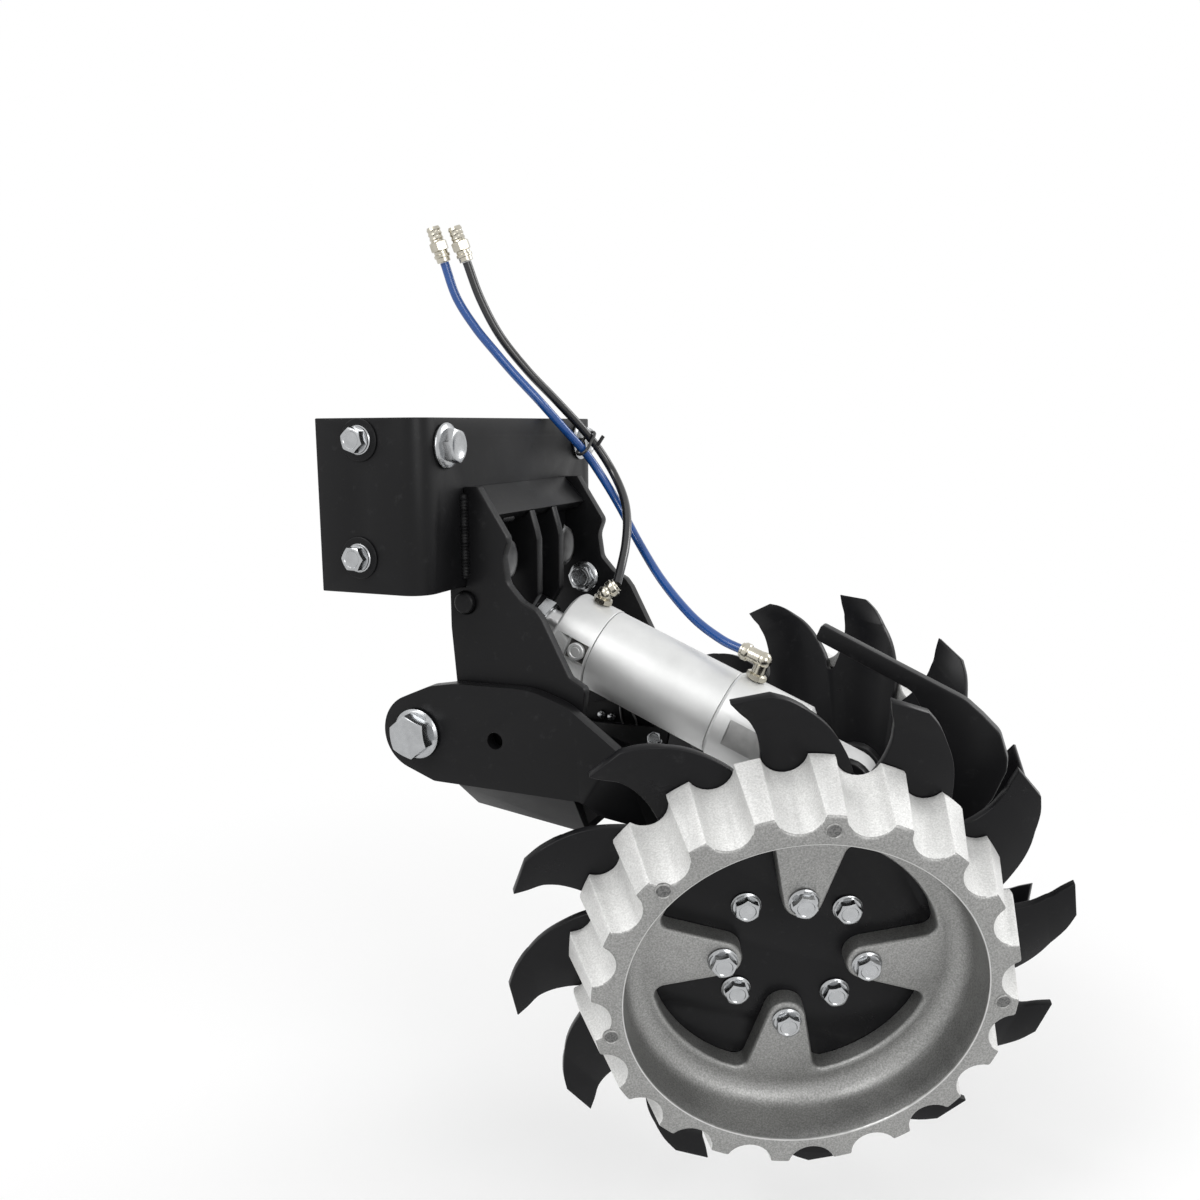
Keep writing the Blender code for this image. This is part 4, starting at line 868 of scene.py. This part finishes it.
def floater_shape():
    shape = bmesh.new()
    bend = [(0.0875 + 0.012 * math.cos(t), 0.024 - 0.012 * math.sin(t))
            for t in (math.radians(11.25 * i) for i in range(9))]
    levels = [round_level(0.0965, BACK_Z), round_level(0.0975, 0.007), round_level(0.104, 0.020),
              round_level(0.107, 0.020), round_level(0.113, BACK_Z),
              rim(CONE_BACK - 0.0008, BACK_Z), rim(CONE_BACK, BACK_Z + 0.0008), rim(CONE_BACK, 0.005),
              rim(CONE_FRONT + 0.0002, RIM_DEPTH - 0.0010), rim(CONE_FRONT - 0.0009, RIM_DEPTH)]
    levels += [round_level(r, z) for r, z in ((0.1004, RIM_DEPTH), (0.0998, RIM_DEPTH - 0.0003),
                                              (0.0995, RIM_DEPTH - 0.0010), (0.0995, 0.034))]
    levels += [round_level(r, z) for r, z in bend] + [round_level(0.0862, WEB_Z)]
    body = grown(shape, levels, SCALLOPS * (GROOVE_STEPS + LUG_STEPS))
    outline = spoke_opening()
    rows = [(outset(outline, by), z) for by, z in (
        (0, BACK_Z), (0, 0.0098), (0.0003, 0.0108), (0.0010, 0.0116), (0.0022, WEB_Z))]
    hole = grown(shape, [lambda k, row=row, z=z: Vector((*row[k], z)) for row, z in rows], len(outline))
    for end in (-1, 0):
        edges = ring_edges(shape, body[end]) + ring_edges(shape, hole[end])
        bmesh.ops.triangle_fill(shape, edges=edges, use_beauty=True, use_dissolve=False)
    bmesh.ops.recalc_face_normals(shape, faces=shape.faces)
    crisp = [e for e in shape.edges if e.calc_face_angle(0) > math.radians(38)
             and min(v.co.z for v in e.verts) > 0.004 and min(v.co.xy.length for v in e.verts) > 0.104]
    round_edges(shape, crisp, 0.0007, 2)
    # Flank faces take the brighter cast copy, which is painted light from above; the lip ring takes the cut finish.
    for face in shape.faces:
        spot = face.calc_center_median()
        outer = spot.xy.length > 0.1045 and spot.z > 0.001 and abs(face.normal.z) < 0.6
        lip = 0.0994 < spot.xy.length < 0.1005 and spot.z > RIM_DEPTH - 0.0012
        face.material_index = 1 if outer else 2 if lip else 0
    return shape


EJECTOR_MARKS, MARK_CIRCLE = (86.6, 137.3, -168.6, -1.5), 0.1083
for name in WHEELS:
    shapes = [floater_shape()]
    for turn in EJECTOR_MARKS:
        mark = turned([(0, -0.001), (0.0048, -0.001), (0.0048, 0.0003), (0.0045, 0.0006),
                       (0.0040, 0.0006), (0.0036, 0.0001), (0, 0.0001)], 32)
        for face in mark.faces:
            face.material_index = 3 if face.calc_center_median().xy.length < 0.0037 else 0
        spot = Matrix.Rotation(math.radians(turn), 3, "Z") @ Vector((MARK_CIRCLE, 0, RIM_DEPTH))
        shapes.append(placed(mark, Matrix.Translation(spot)))
    made = fitted("floater_" + name + "_casting", placed(joined(shapes), wheel_place(name)),
                  name + "_wheel", "cast_aluminium", ["floater_" + name], sharp=30)
    for slot in ("cast_flanks", "cut_lip", "mark_shade"):
        made.data.materials.append(FINISH[slot])
    print(made.name, len(made.data.polygons), "faces")

# %% [markdown]
# The disc is plate steel. One smooth line runs from the blunt corner of a tooth through the gullet
# to the next tooth's tip, so only the real corners stay sharp. The outline becomes one flat face,
# which is cut along each tooth's fold, and what lies past the fold is turned outwards.

# %% Toothed discs
TEETH, DISC_THICKNESS = 12, 0.005
TIP_BEND, FOLD_AT = math.radians(11.0), 0.150
FOLD_TURN = 3.75               # degrees from a tooth's tip to the line square to its fold
TOOTH_STEP = 360 // TEETH
GULLET = [(165.5, -7.6), (160.5, -11.2), (153, -15.2), (147, -18.3), (140, -21.2), (131, -24.4),
          (124, -26.7), (117, -28.6), (112.6, -29.5), (111.2, -30.9), (113, -32.3), (118, -33.0),
          (124, -33.7), (132, -34.2), (142, -34.0), (151, -32.9), (158, -31.3), (165.5, -30)]


def disc_shape(first_tip):
    outline = []
    for tooth in range(TEETH):
        turns = [(r / 1000, math.radians(first_tip - tooth * TOOTH_STEP + a)) for r, a in GULLET]
        outline += smooth_line([(r * math.cos(t), r * math.sin(t), 0) for r, t in turns], 3)
    shape = bmesh.new()
    shape.faces.new([shape.verts.new(p) for p in reversed(outline)])
    for tooth in range(TEETH):
        turn = math.radians(first_tip - FOLD_TURN + tooth * TOOTH_STEP)
        out = Vector((math.cos(turn), math.sin(turn), 0))
        everything = shape.verts[:] + shape.edges[:] + shape.faces[:]
        bmesh.ops.bisect_plane(shape, geom=everything, dist=1e-7, plane_co=out * FOLD_AT,
                               plane_no=out)
        for vert in shape.verts:
            past = vert.co.dot(out) - FOLD_AT
            if past > 1e-6:
                vert.co += out * past * (math.cos(TIP_BEND) - 1)
                vert.co.z += past * math.sin(TIP_BEND)
    return shape


def thickened(made, thickness, offset, width, segments):
    """Gives a sheet its thickness and rounds its edges, both as modifiers."""
    thick = made.modifiers.new("thickness", "SOLIDIFY")
    thick.thickness = thickness
    thick.offset = offset
    edge = made.modifiers.new("edge", "BEVEL")
    edge.width = width
    edge.segments = segments
    edge.limit_method = "ANGLE"
    edge.angle_limit = math.radians(50)
    print(made.name, len(made.data.polygons), "faces before their thickness")


for name, (_, _, first_tip) in WHEELS.items():
    made = fitted("disc_" + name + "_plate", placed(disc_shape(first_tip), wheel_place(name)),
                  name + "_wheel", "disc_paint", ["disc_" + name], sharp=8)
    thickened(made, DISC_THICKNESS, -1, 0.0006, 2)

# %% [markdown]
# The hub is a flanged, forged piece behind the disc. Eight flanged bolts hold disc and floater to
# it: four through the spokes' ends and four straight through the disc. One bolt is modelled in
# detail and repeated, with a turn of its own each time, as nobody lines bolts up.

# %% Hubs and wheel bolts
BOLT_CIRCLE = 0.0415
for name in WHEELS:
    place = wheel_place(name)
    top = -DISC_THICKNESS - GAP
    hub = turned([(0, top), (0.0515, top), (0.0525, top - 0.001), (0.0525, top - 0.006),
                  (0.0515, top - 0.007), (0.033, top - 0.0075), (0.029, top - 0.009),
                  (0.0265, top - 0.013), (0.026, top - 0.016), (0.026, -0.037),
                  (0.025, -0.038), (0.0193, -0.038), (0.0183, -0.037), (0.0183, -0.0158),
                  (0, -0.0158)], 64)
    fitted("hub_" + name + "_forging", placed(hub, place), name + "_wheel", "black_paint",
           ["hub_" + name])
    bolts = []
    for k in range(8):
        turn = math.radians(FIRST_SPOKE + k * 45)
        seat = WEB_Z + GAP if k % 2 == 0 else GAP
        spot = Vector((BOLT_CIRCLE * math.cos(turn), BOLT_CIRCLE * math.sin(turn), seat))
        bolt = bolt_shape(0.0127, 0.0068, 0.0087, 0.0016, 0.005, seat - top + 0.0035)
        bolts.append(placed(bolt, Matrix.Translation(spot) @ Matrix.Rotation(0.7 * k, 4, "Z")))
    fitted("wheel_bolts_" + name, placed(joined(bolts), place), name + "_wheel", "zinc")

done_elsewhere = {kind + name for kind in ("floater_", "disc_", "hub_", "arm_plate_") for name in WHEELS}
done_elsewhere |= {"blue_air_line", "black_air_line", "side_plate_near", "side_plate_far", "guard_plate"}

# %% [markdown]
# Every other screw, pin and nut is the same story at its own size. The table gives what a fitter
# would read off them: across flats, head height and flange, and where they sit.

# %% Bolts, pins and nuts
AHEAD, NEARWARD, FARWARD = (1, 0, 0), (0, -1, 0), (0, 1, 0)
PLATE_FACE, BRACKET_SIDE = 0.010 + GAP, -0.127
bracket_side = BRACKET_SIDE - GAP
# across flats, head height, flange radius, shank radius, length
FACE_BOLT = 0.0190, 0.0095, 0.0140, 0.0063, 0.022
FLANGE_BOLT = 0.0135, 0.0085, 0.0088, 0.0063, 0.022
PLATE_BOLT = 0.0262, 0.0133, 0.0152, 0.008, 0.022
BOLTS = {                      # seat, direction, turn and the sizes
    "face_bolt_near": ((PLATE_FACE, -0.098, 0.036), AHEAD, 0.3, *FACE_BOLT),
    "face_bolt_far": ((PLATE_FACE, 0.098, 0.036), AHEAD, 0.3, *FACE_BOLT),
    "flange_bolt_upper": ((-0.032, bracket_side, 0.040), NEARWARD, 0.2, *FLANGE_BOLT),
    "flange_bolt_lower": ((-0.035, bracket_side, -0.031), NEARWARD, 0.5, *FLANGE_BOLT),
    "plate_bolt_near": ((PLATE_FACE, -0.045, -0.039), AHEAD, 0.1, *PLATE_BOLT),
    "plate_bolt_far": ((PLATE_FACE, 0.045, -0.039), AHEAD, 0.1, *PLATE_BOLT),
    "stud_far": ((0.0255, 0.071 - GAP, -0.0655), NEARWARD, 0.4, 0.0170, 0.0088, 0.0118, 0.006, 0.0123),
    "pivot_bolt": ((-0.022, -0.091 - 3 * GAP, -0.150), NEARWARD, 0.15,
                   0.0250, 0.0125, 0.0165, 0.0095, 0.2038),
    "rod_pin": ((0.002, -0.021 - GAP, -0.076), NEARWARD, 0.2, 0.0240, 0.0100, 0.0130, 0.008, 0.058),
    "cylinder_pin": ((0.242, -0.023, -0.1755), NEARWARD, 0.3, 0.0240, 0.0100, 0.0130, 0.008, 0.0634),
}
NUTS = {                       # seat, direction, turn, across flats, height, bore
    "pivot_nut": ((-0.022, 0.091 + 3 * GAP, -0.150), FARWARD, 0.35, 0.0286, 0.0165, 0.0098),
    "rod_pin_nut": ((0.002, 0.021 + GAP, -0.076), FARWARD, 0.1, 0.0240, 0.0125, 0.0083),
    "cylinder_pin_nut": ((0.242, 0.023, -0.1755), FARWARD, 0.2, 0.0240, 0.0135, 0.0083),
}
for node, (seat, way, spin, across, head, flange, shank, length) in BOLTS.items():
    bolt = bolt_shape(across, head, flange, 0.0022, shank, length)
    # The plate bolts take the darker zinc: partly dirt, partly painted shade low between the cheeks and ears.
    dirt_and_shade = FINISH["aged_zinc"] if node.startswith("plate_bolt") else None
    fitted(node + "_turned", placed(bolt, toward(seat, way, spin)), node_body[node], "zinc",
           [node], dirt_and_shade)
for node, (seat, way, spin, across, height, bore) in NUTS.items():
    nut = nut_shape(across, height, bore)
    fitted(node + "_turned", placed(nut, toward(seat, way, spin)), node_body[node], "zinc", [node])
for name, (x, z) in (("upper", (-0.032, 0.040)), ("lower", (-0.035, -0.031))):
    washer = turned([(0.0068, -0.0002), (0.0123, -0.0002), (0.0128, 0.0003), (0.0128, 0.0009),
                     (0.0123, 0.0013), (0.0068, 0.0013), (0.0068, -0.0002)])
    fitted("flange_washer_" + name, placed(washer, toward((x, BRACKET_SIDE, z), NEARWARD)), "mount",
           "black_paint")
done_elsewhere |= set(BOLTS) | set(NUTS)
print("bolts and nuts:", len(BOLTS) + len(NUTS))

# %% [markdown]
# The plates are cut from steel sheet, so each is an outline with rounded corners, filled round its
# holes, given its thickness and a small rounding along every edge. The arm plates are also folded
# twice, which draws them together towards the wheels: the flat outline is cut along both folds and
# sheared sideways between them, and a wide bevel gives each fold its press-brake radius.

# %% Plates
PIVOT = (-0.022, -0.150)
CHEEK_IN, CHEEK_OUT = 0.071, 0.079


def circle_loop(centre, radius, count=32):
    return [Vector(p) for p in arc(centre, radius, 0, 360, count)[:-1]]


def filled(loops):
    """A flat sheet in local XY from closed outlines; an outline inside another is a hole."""
    shape = bmesh.new()
    for loop in loops:
        verts = [shape.verts.new((p[0], p[1], 0)) for p in loop]
        for i in range(len(verts)):
            shape.edges.new((verts[i - 1], verts[i]))
    bmesh.ops.triangle_fill(shape, edges=shape.edges, use_beauty=True, use_dissolve=False)
    if shape.faces[:][0].normal.z < 0:
        bmesh.ops.reverse_faces(shape, faces=shape.faces)
    return shape


UPRIGHT = Matrix(((1, 0, 0, 0), (0, 0, -1, 0), (0, 1, 0, 0), (0, 0, 0, 1)))


def upright_plate(name, loops, inner, outer, node):
    """A plate in the XZ plane between two distances from the middle plane (+ is far)."""
    shape = filled(loops)
    bmesh.ops.solidify(shape, geom=shape.faces[:], thickness=abs(outer - inner))
    heights = [v.co.z for v in shape.verts]
    middle_now, middle_wanted = (min(heights) + max(heights)) / 2, (inner + outer) / 2
    bmesh.ops.translate(shape, verts=shape.verts, vec=(0, 0, -middle_now - middle_wanted))
    placed(shape, UPRIGHT)
    bmesh.ops.remove_doubles(shape, verts=shape.verts, dist=1e-6)
    bmesh.ops.dissolve_limit(shape, angle_limit=math.radians(0.4), verts=shape.verts, edges=shape.edges)
    bmesh.ops.recalc_face_normals(shape, faces=shape.faces)
    round_edges(shape, [e for e in shape.edges if e.calc_face_angle(0) > math.radians(50)], 0.0009, 3)
    bmesh.ops.triangulate(shape, faces=[f for f in shape.faces if len(f.verts) > 4])
    made = fitted(name, shape, node_body[node], "black_paint", [node], sharp=32)
    print(name, len(made.data.polygons), "faces")


nose = [(0.0203, 0.0102), (0.028, -0.002), (0.041, -0.022, 0.006), (0.037, -0.033, 0.012),
        (0.0395, -0.050, 0.010), (0.049, -0.0606, 0.010), (0.059, -0.0657, 0.008),
        (0.0637, -0.0717, 0.006), (0.082, -0.107, 0.006), (0.093, -0.113, 0.004),
        (0.090, -0.135, 0.020), (0.060, -0.158, 0.030)]
heel = [(0.002, -0.122), (-0.0015, -0.080), (-0.0015, -0.0533), (0.0103, -0.0533)]
cheek = rounded([(0.0103, 0.010)] + nose + round_end(PIVOT, 0.025, nose[-1], heel[0]) + heel)
for name, side, hole in (("near", -1, circle_loop((0.0100, -0.0635), 0.0073)),
                         ("far", 1, circle_loop((0.0255, -0.0655), 0.0062))):
    upright_plate("cheek_" + name, [cheek, circle_loop(PIVOT, 0.010), hole],
                  side * CHEEK_IN, side * CHEEK_OUT, "side_plate_" + name)

GUARD = [
    (0.2222, -0.0762, 0.002), (0.310, -0.1163, 0.020), (0.3195, -0.1243, 0.012),
    (0.330, -0.1345, 0.012), (0.335, -0.150, 0.010), (0.335, -0.1575, 0.008),
    (0.328, -0.176, 0.010), (0.306, -0.208, 0.030), (0.266, -0.243, 0.030),
    (0.247, -0.2555, 0.006), (0.2353, -0.2555), (0.2353, -0.2105), (0.246, -0.2105, 0.006),
    (0.276, -0.193, 0.020), (0.300, -0.153, 0.030), (0.279, -0.1140, 0.014), (0.2182, -0.0858, 0.003)]
upright_plate("guard_hook", [rounded(GUARD, 9)], -0.005, 0.005, "guard_plate")

ARM_PLATE, ARM_OUTSIDE, ARM_NARROW = 0.009, 0.091, 0.023
REAR_MIDDLE, FRONT_MIDDLE = ARM_OUTSIDE - ARM_PLATE / 2, ARM_NARROW + ARM_PLATE / 2
FOLD_HEIGHT, FOLD_START, FOLD_SLOPE = -0.175, 0.113, math.radians(24)
FOLD_BEFORE_END = 0.034        # from the second fold to the arm's end
BELLY_FOLD = -0.1812


def arm_shape(name):
    place = wheel_place(name)
    normal = place.col[2].to_3d()
    side = WHEELS[name][1]
    end = place.translation - normal * ((WHEEL_OUT - ARM_NARROW - ARM_PLATE) / abs(normal.y))
    top_edge = [(-0.012, -0.1178, 0.020), (0.006, -0.1145, 0.030), (0.060, -0.1135, 0.060),
                (0.085, -0.1215, 0.040), (0.119, -0.1460, 0.040), (end.x - 0.040, end.z + 0.050, 0.030)]
    bottom = [(end.x - FOLD_BEFORE_END, end.z - 0.021, 0.020), (0.135, -0.203, 0.020),
              (0.094, BELLY_FOLD, 0.006), (-0.0105, BELLY_FOLD, 0.008)]
    outline = top_edge + round_end((end.x, end.z), 0.032, top_edge[-1], bottom[0], 24)
    outline += bottom + round_end(PIVOT, 0.0255, bottom[-1], top_edge[0], 24)
    holes = [circle_loop(PIVOT, 0.0138), circle_loop((0.0355, -0.149), 0.0055)]
    shape = filled([rounded(outline, 10)] + holes)
    ahead = Vector((1, -math.tan(FOLD_SLOPE), 0))
    level = Vector((0, FOLD_HEIGHT, 0))
    last = ahead.dot(Vector((end.x - FOLD_BEFORE_END, end.z, 0)) - level)
    for distance in (FOLD_START, last):
        everything = shape.verts[:] + shape.edges[:] + shape.faces[:]
        bmesh.ops.bisect_plane(shape, geom=everything, dist=1e-7,
                               plane_co=level + Vector((distance, 0, 0)), plane_no=ahead)
    for vert in shape.verts:
        share = min(1.0, max(0.0, (ahead.dot(vert.co - level) - FOLD_START) / (last - FOLD_START)))
        vert.co.z = -side * (REAR_MIDDLE + (FRONT_MIDDLE - REAR_MIDDLE) * share)
    bmesh.ops.dissolve_limit(shape, angle_limit=math.radians(0.4), verts=shape.verts, edges=shape.edges)
    folds = [e for e in shape.edges if len(e.link_faces) == 2 and e.calc_face_angle(0) > math.radians(4)]
    round_edges(shape, folds, 0.004, 4)
    return placed(shape, UPRIGHT)


for name in WHEELS:
    made = fitted("arm_" + name + "_folded", arm_shape(name), "arm", "black_paint",
                  ["arm_plate_" + name], sharp=14)
    thickened(made, ARM_PLATE, 0, 0.0009, 3)

# %% [markdown]
# Air enters the cylinder through two push-in elbows. Each has a hexagon that a spanner turns, a
# knuckle and a collar that lets go of the line when it is pressed. The line's other end has a
# barbed union. The plug closes the spare port in the head cap's recess.

# %% Elbows, unions and the plug
ACROSS = Vector((-ALONG.z, 0, ALONG.x))
HEAD_RECESS, END_FLAT = 0.0255, 0.0291      # from the middle plane


def elbow_shape(seat, rise, mouth):
    out = mouth - (seat + ACROSS * rise)
    reach = out.length
    stem = turned([(0, 0), (0.0056, 0), *hexagon(0.0122, 0.0002, 0.0042), (0.0056, 0.0042),
                   (0.0045, 0.0046), (0.0045, rise), (0, rise)])
    knuckle = bmesh.new()
    bmesh.ops.create_uvsphere(knuckle, u_segments=28, v_segments=18, radius=0.0055)
    branch = turned([(0, 0), (0.0050, 0)] + [(radius, reach - back) for radius, back in (
        (0.0050, 0.0066), (0.0057, 0.0060), (0.0060, 0.0052), (0.0060, 0.0024), (0.0055, 0.0018),
        (0.0050, 0.0016), (0.0050, 0.0003), (0.0047, 0), (0.0041, 0), (0.0039, 0.0030), (0, 0.0030))])
    return joined([placed(stem, toward(seat, ACROSS)),
                   placed(knuckle, Matrix.Translation(seat + ACROSS * rise)),
                   placed(branch, toward(seat + ACROSS * rise, out))])


for node, at, radius, rise, over, route in (("head_elbow", 0.062, 0.0295, 0.0072, -0.0006, BLACK_ROUTE),
                                            ("end_elbow", 0.179, 0.0305, 0.0140, 0.0012, BLUE_ROUTE)):
    heading = (Vector(route[-2]) - Vector(route[-1])).normalized()
    seat = ROD_PIN + ALONG * at + ACROSS * (radius + GAP)
    fitted(node + "_fitting", elbow_shape(seat, rise, Vector(route[-1]) + heading * over), "barrel",
           "nickel", [node])

for colour, (tube, line) in air_lines.items():
    away = (line[0] - line[1]).normalized()
    barb = turned([
        (0, 0), (0.0044, 0), (0.0048, 0.0004), (0.0048, 0.0030), (0.0056, 0.0034), (0.0056, 0.0052),
        (0.0048, 0.0056), (0.0048, 0.0074), *hexagon(0.0112, 0.0076, 0.0140), (0.0048, 0.0142),
        (0.0044, 0.0150), (0.0050, 0.0160), (0.0044, 0.0176), (0.0044, 0.0180), (0.0050, 0.0190),
        (0.0044, 0.0206), (0.0044, 0.0210), (0.0050, 0.0220), (0.0042, 0.0240), (0.0024, 0.0240),
        (0.0024, 0.0200), (0, 0.0200)])
    union = fitted(colour + "_union_barb", placed(barb, toward(line[0] + away * GAP, away)), "mount",
                   "nickel", [colour + "_union"])
    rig.cord(tube, exit=line[-1], length=line_length(line), diameter=AIR_LINE_D, far_end="fitting",
            stiffness="stiff", lay="taut", path=line[::-1], with_pieces=[union])

port_side = Matrix.Translation(ROD_PIN + ALONG * 0.0665) @ toward((0, -HEAD_RECESS - GAP, 0), NEARWARD)
plug = turned([(0, 0), (0.0056, 0), (0.0060, 0.0005), (0.0060, 0.0030), (0.0054, 0.0036),
               (0.0040, 0.0038), (0.0034, 0.0032), (0.0030, 0.0036), (0, 0.0037)])
fitted("port_plug", placed(plug, port_side), "barrel", "zinc", ["head_plug"],
       FINISH["cylinder_aluminium"])
done_elsewhere |= {"head_elbow", "end_elbow", "head_plug", "blue_union", "black_union"}

# %% [markdown]
# The mount is welded. A weld bead is a string of overlapping puddles, so each bead here is a turned
# rod whose radius swells and shrinks every two millimetres. A few small things sit low between the
# arm plates: two screws, a wire clip and a bolt in the pan. The tie's tail stands up from its knot.

# %% Welds and small hardware


def weld_bead(name, start, end, radius):
    start, end = Vector(start), Vector(end)
    length = (end - start).length
    count = max(4, round(length / 0.0005))
    levels = [(0, 0)]
    for i in range(count + 1):
        along = length * i / count
        swell = 1 + 0.13 * math.sin(2 * math.pi * along / 0.0021)
        closing = min(1.0, math.sqrt(max(0.0, min(along, length - along) / radius)) + 0.25)
        levels.append((radius * swell * closing, along))
    levels.append((0, length))
    bead = placed(turned(levels, 12), toward(start, end - start))
    fitted(name, bead, "mount", "black_paint", sharp=60)


def block(size, rise=0.0):
    shape = bmesh.new()
    bmesh.ops.create_cube(shape, size=1)
    bmesh.ops.scale(shape, vec=size, verts=shape.verts)
    bmesh.ops.translate(shape, vec=(0, 0, rise), verts=shape.verts)
    return shape


for name, side in (("near", -1), ("far", 1)):
    for kind, x, y, bottom, top, radius in (("cheek", 0.0106, 0.0800, -0.048, 0.006, 0.0030),
                                            ("ear", 0.0110, 0.031, -0.050, -0.010, 0.0022)):
        weld_bead(kind + "_weld_" + name, (x, side * y, bottom), (x, side * y, top), radius)
weld_bead("gusset_weld", (0.0212, -0.0500, -0.0125), (0.0212, -0.0345, -0.0125), 0.0022)
FAR_ARM_INSIDE, CLIP_WIRE = ARM_OUTSIDE - ARM_PLATE, 0.0009
for name, x, z in (("rear", 0.0347, -0.1760), ("front", 0.0432, -0.1772)):
    screw = turned([(0, -0.002), (0.0034, 0), (0.0034, 0.0012), (0.0028, 0.0022), (0.0015, 0.0027),
                    (0, 0.0028)], 24)
    fitted("clip_screw_" + name, placed(screw, toward((x, FAR_ARM_INSIDE, z), NEARWARD)), "arm", "zinc")
clip_line = smooth_line([(x, 0.0808, z) for x, z in (
    (0.0500, -0.1560), (0.0508, -0.1680), (0.0520, -0.1780), (0.0545, -0.1840), (0.0590, -0.1855),
    (0.0640, -0.1835), (0.0640, -0.1780), (0.0605, -0.1710), (0.0600, -0.1640), (0.0612, -0.1560))])
clip = swept_tube("pan_clip", clip_line, CLIP_WIRE, 12)
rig.ride(clip, "arm")
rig.slot(clip, "zinc")
# The clip takes the same darker zinc, partly dirt and partly painted shade down in the pan.
dress(clip, "aged_zinc")
pan_bolt = bolt_shape(0.0100, 0.0062, 0.0078, 0.0018, 0.004, 0.012)
pan_bolt_at = toward((0.081, 0.0785, -0.1915), (0, -0.83, 0.557), 0.3)
fitted("pan_bolt", placed(pan_bolt, pan_bolt_at), "arm", "zinc")

tie_knot = block((0.0040, 0.0050, 0.0030))
round_edges(tie_knot, tie_knot.edges[:], 0.0005, 2)
tail = block((0.0026, 0.0010, 0.0090), 0.0050)
knot_at = Matrix.Translation((0.0355, 0.0735, 0.0322)) @ Matrix.Rotation(math.radians(35), 4, "Y")
fitted("tie_knot", placed(joined([tie_knot, tail]), knot_at), "mount", "tie_nylon")

# %% [markdown]
# A cut plate or a turned pin never has a perfectly sharp edge: paint and deburring round it, and
# that thin rounding is what catches the light. Each plain node is copied, its loose triangles are
# merged back into flat faces, and its sharp edges get a small bevel.

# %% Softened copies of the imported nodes


def softened(node, width, segments):
    shape = bmesh.new()
    shape.from_mesh(frame["nodes"][node].data)
    bmesh.ops.remove_doubles(shape, verts=shape.verts, dist=2e-6)
    if node == "arm_cross_plate":
        lower = [v for v in shape.verts if v.co.z < BELLY_FOLD - 0.005]
        bmesh.ops.translate(shape, verts=lower, vec=(0, 0, -PAN_DEEPER))
        rear = [v for v in lower if v.co.x < PAN_MIDDLE]
        bmesh.ops.translate(shape, verts=rear, vec=(-PAN_BACK, 0, 0))
    bmesh.ops.dissolve_limit(shape, angle_limit=math.radians(0.6), verts=shape.verts, edges=shape.edges)
    edges = [e for e in shape.edges if len(e.link_faces) == 2
             and e.calc_face_angle(0) > math.radians(24)]
    round_edges(shape, edges, width, segments)
    bmesh.ops.triangulate(shape, faces=[f for f in shape.faces if len(f.verts) > 4])
    made = piece(node + "_finished", shape, sharp=22)
    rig.ride(made, node_body[node])
    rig.replaces(made, node)
    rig.slot(made, node_slot[node])
    dress(made, node_slot[node])
    if node in SHADED_RECESS_AND_MILLED_FLAT:
        depth, finish = SHADED_RECESS_AND_MILLED_FLAT[node]
        made.data.materials.append(FINISH[finish])
        for face in made.data.polygons:
            if abs(abs(face.center.y) - depth) < 0.0004 and abs(face.normal.y) > 0.998:
                face.material_index = 1


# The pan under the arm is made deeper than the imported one, and its lower rear edge goes back.
PAN_DEEPER, PAN_BACK, PAN_MIDDLE = 0.008, 0.009, 0.05
# The head cap's recess faces are painted darker as painted shade; the end cap's flat takes a milled finish.
SHADED_RECESS_AND_MILLED_FLAT = {"head_cap": (HEAD_RECESS, "recess_shade"), "end_cap": (END_FLAT, "milled_flat")}
plates = ["mounting_bracket", "top_gusset", "rod_ear_near", "rod_ear_far", "arm_cross_plate",
          "centre_block", "cylinder_ear_near", "cylinder_ear_far"]
for node in plates:
    softened(node, 0.0009, 3)
fine = [n for n in node_body if n not in plates and n not in done_elsewhere]
for node in fine:
    softened(node, 0.0005, 2)
print("softened:", len(plates) + len(fine))

# %% [markdown]
# The last cell writes the imported box and the dressed box side by side, so that a piece that has
# grown past the real size shows at once.

# %% Write the imported and the dressed box
dressed_box = [list(corner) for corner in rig.bounds()]
with open("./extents.json", "w") as out:
    json.dump({"packed": packed_box, "dressed": dressed_box}, out)
print("dressed box:", dressed_box)
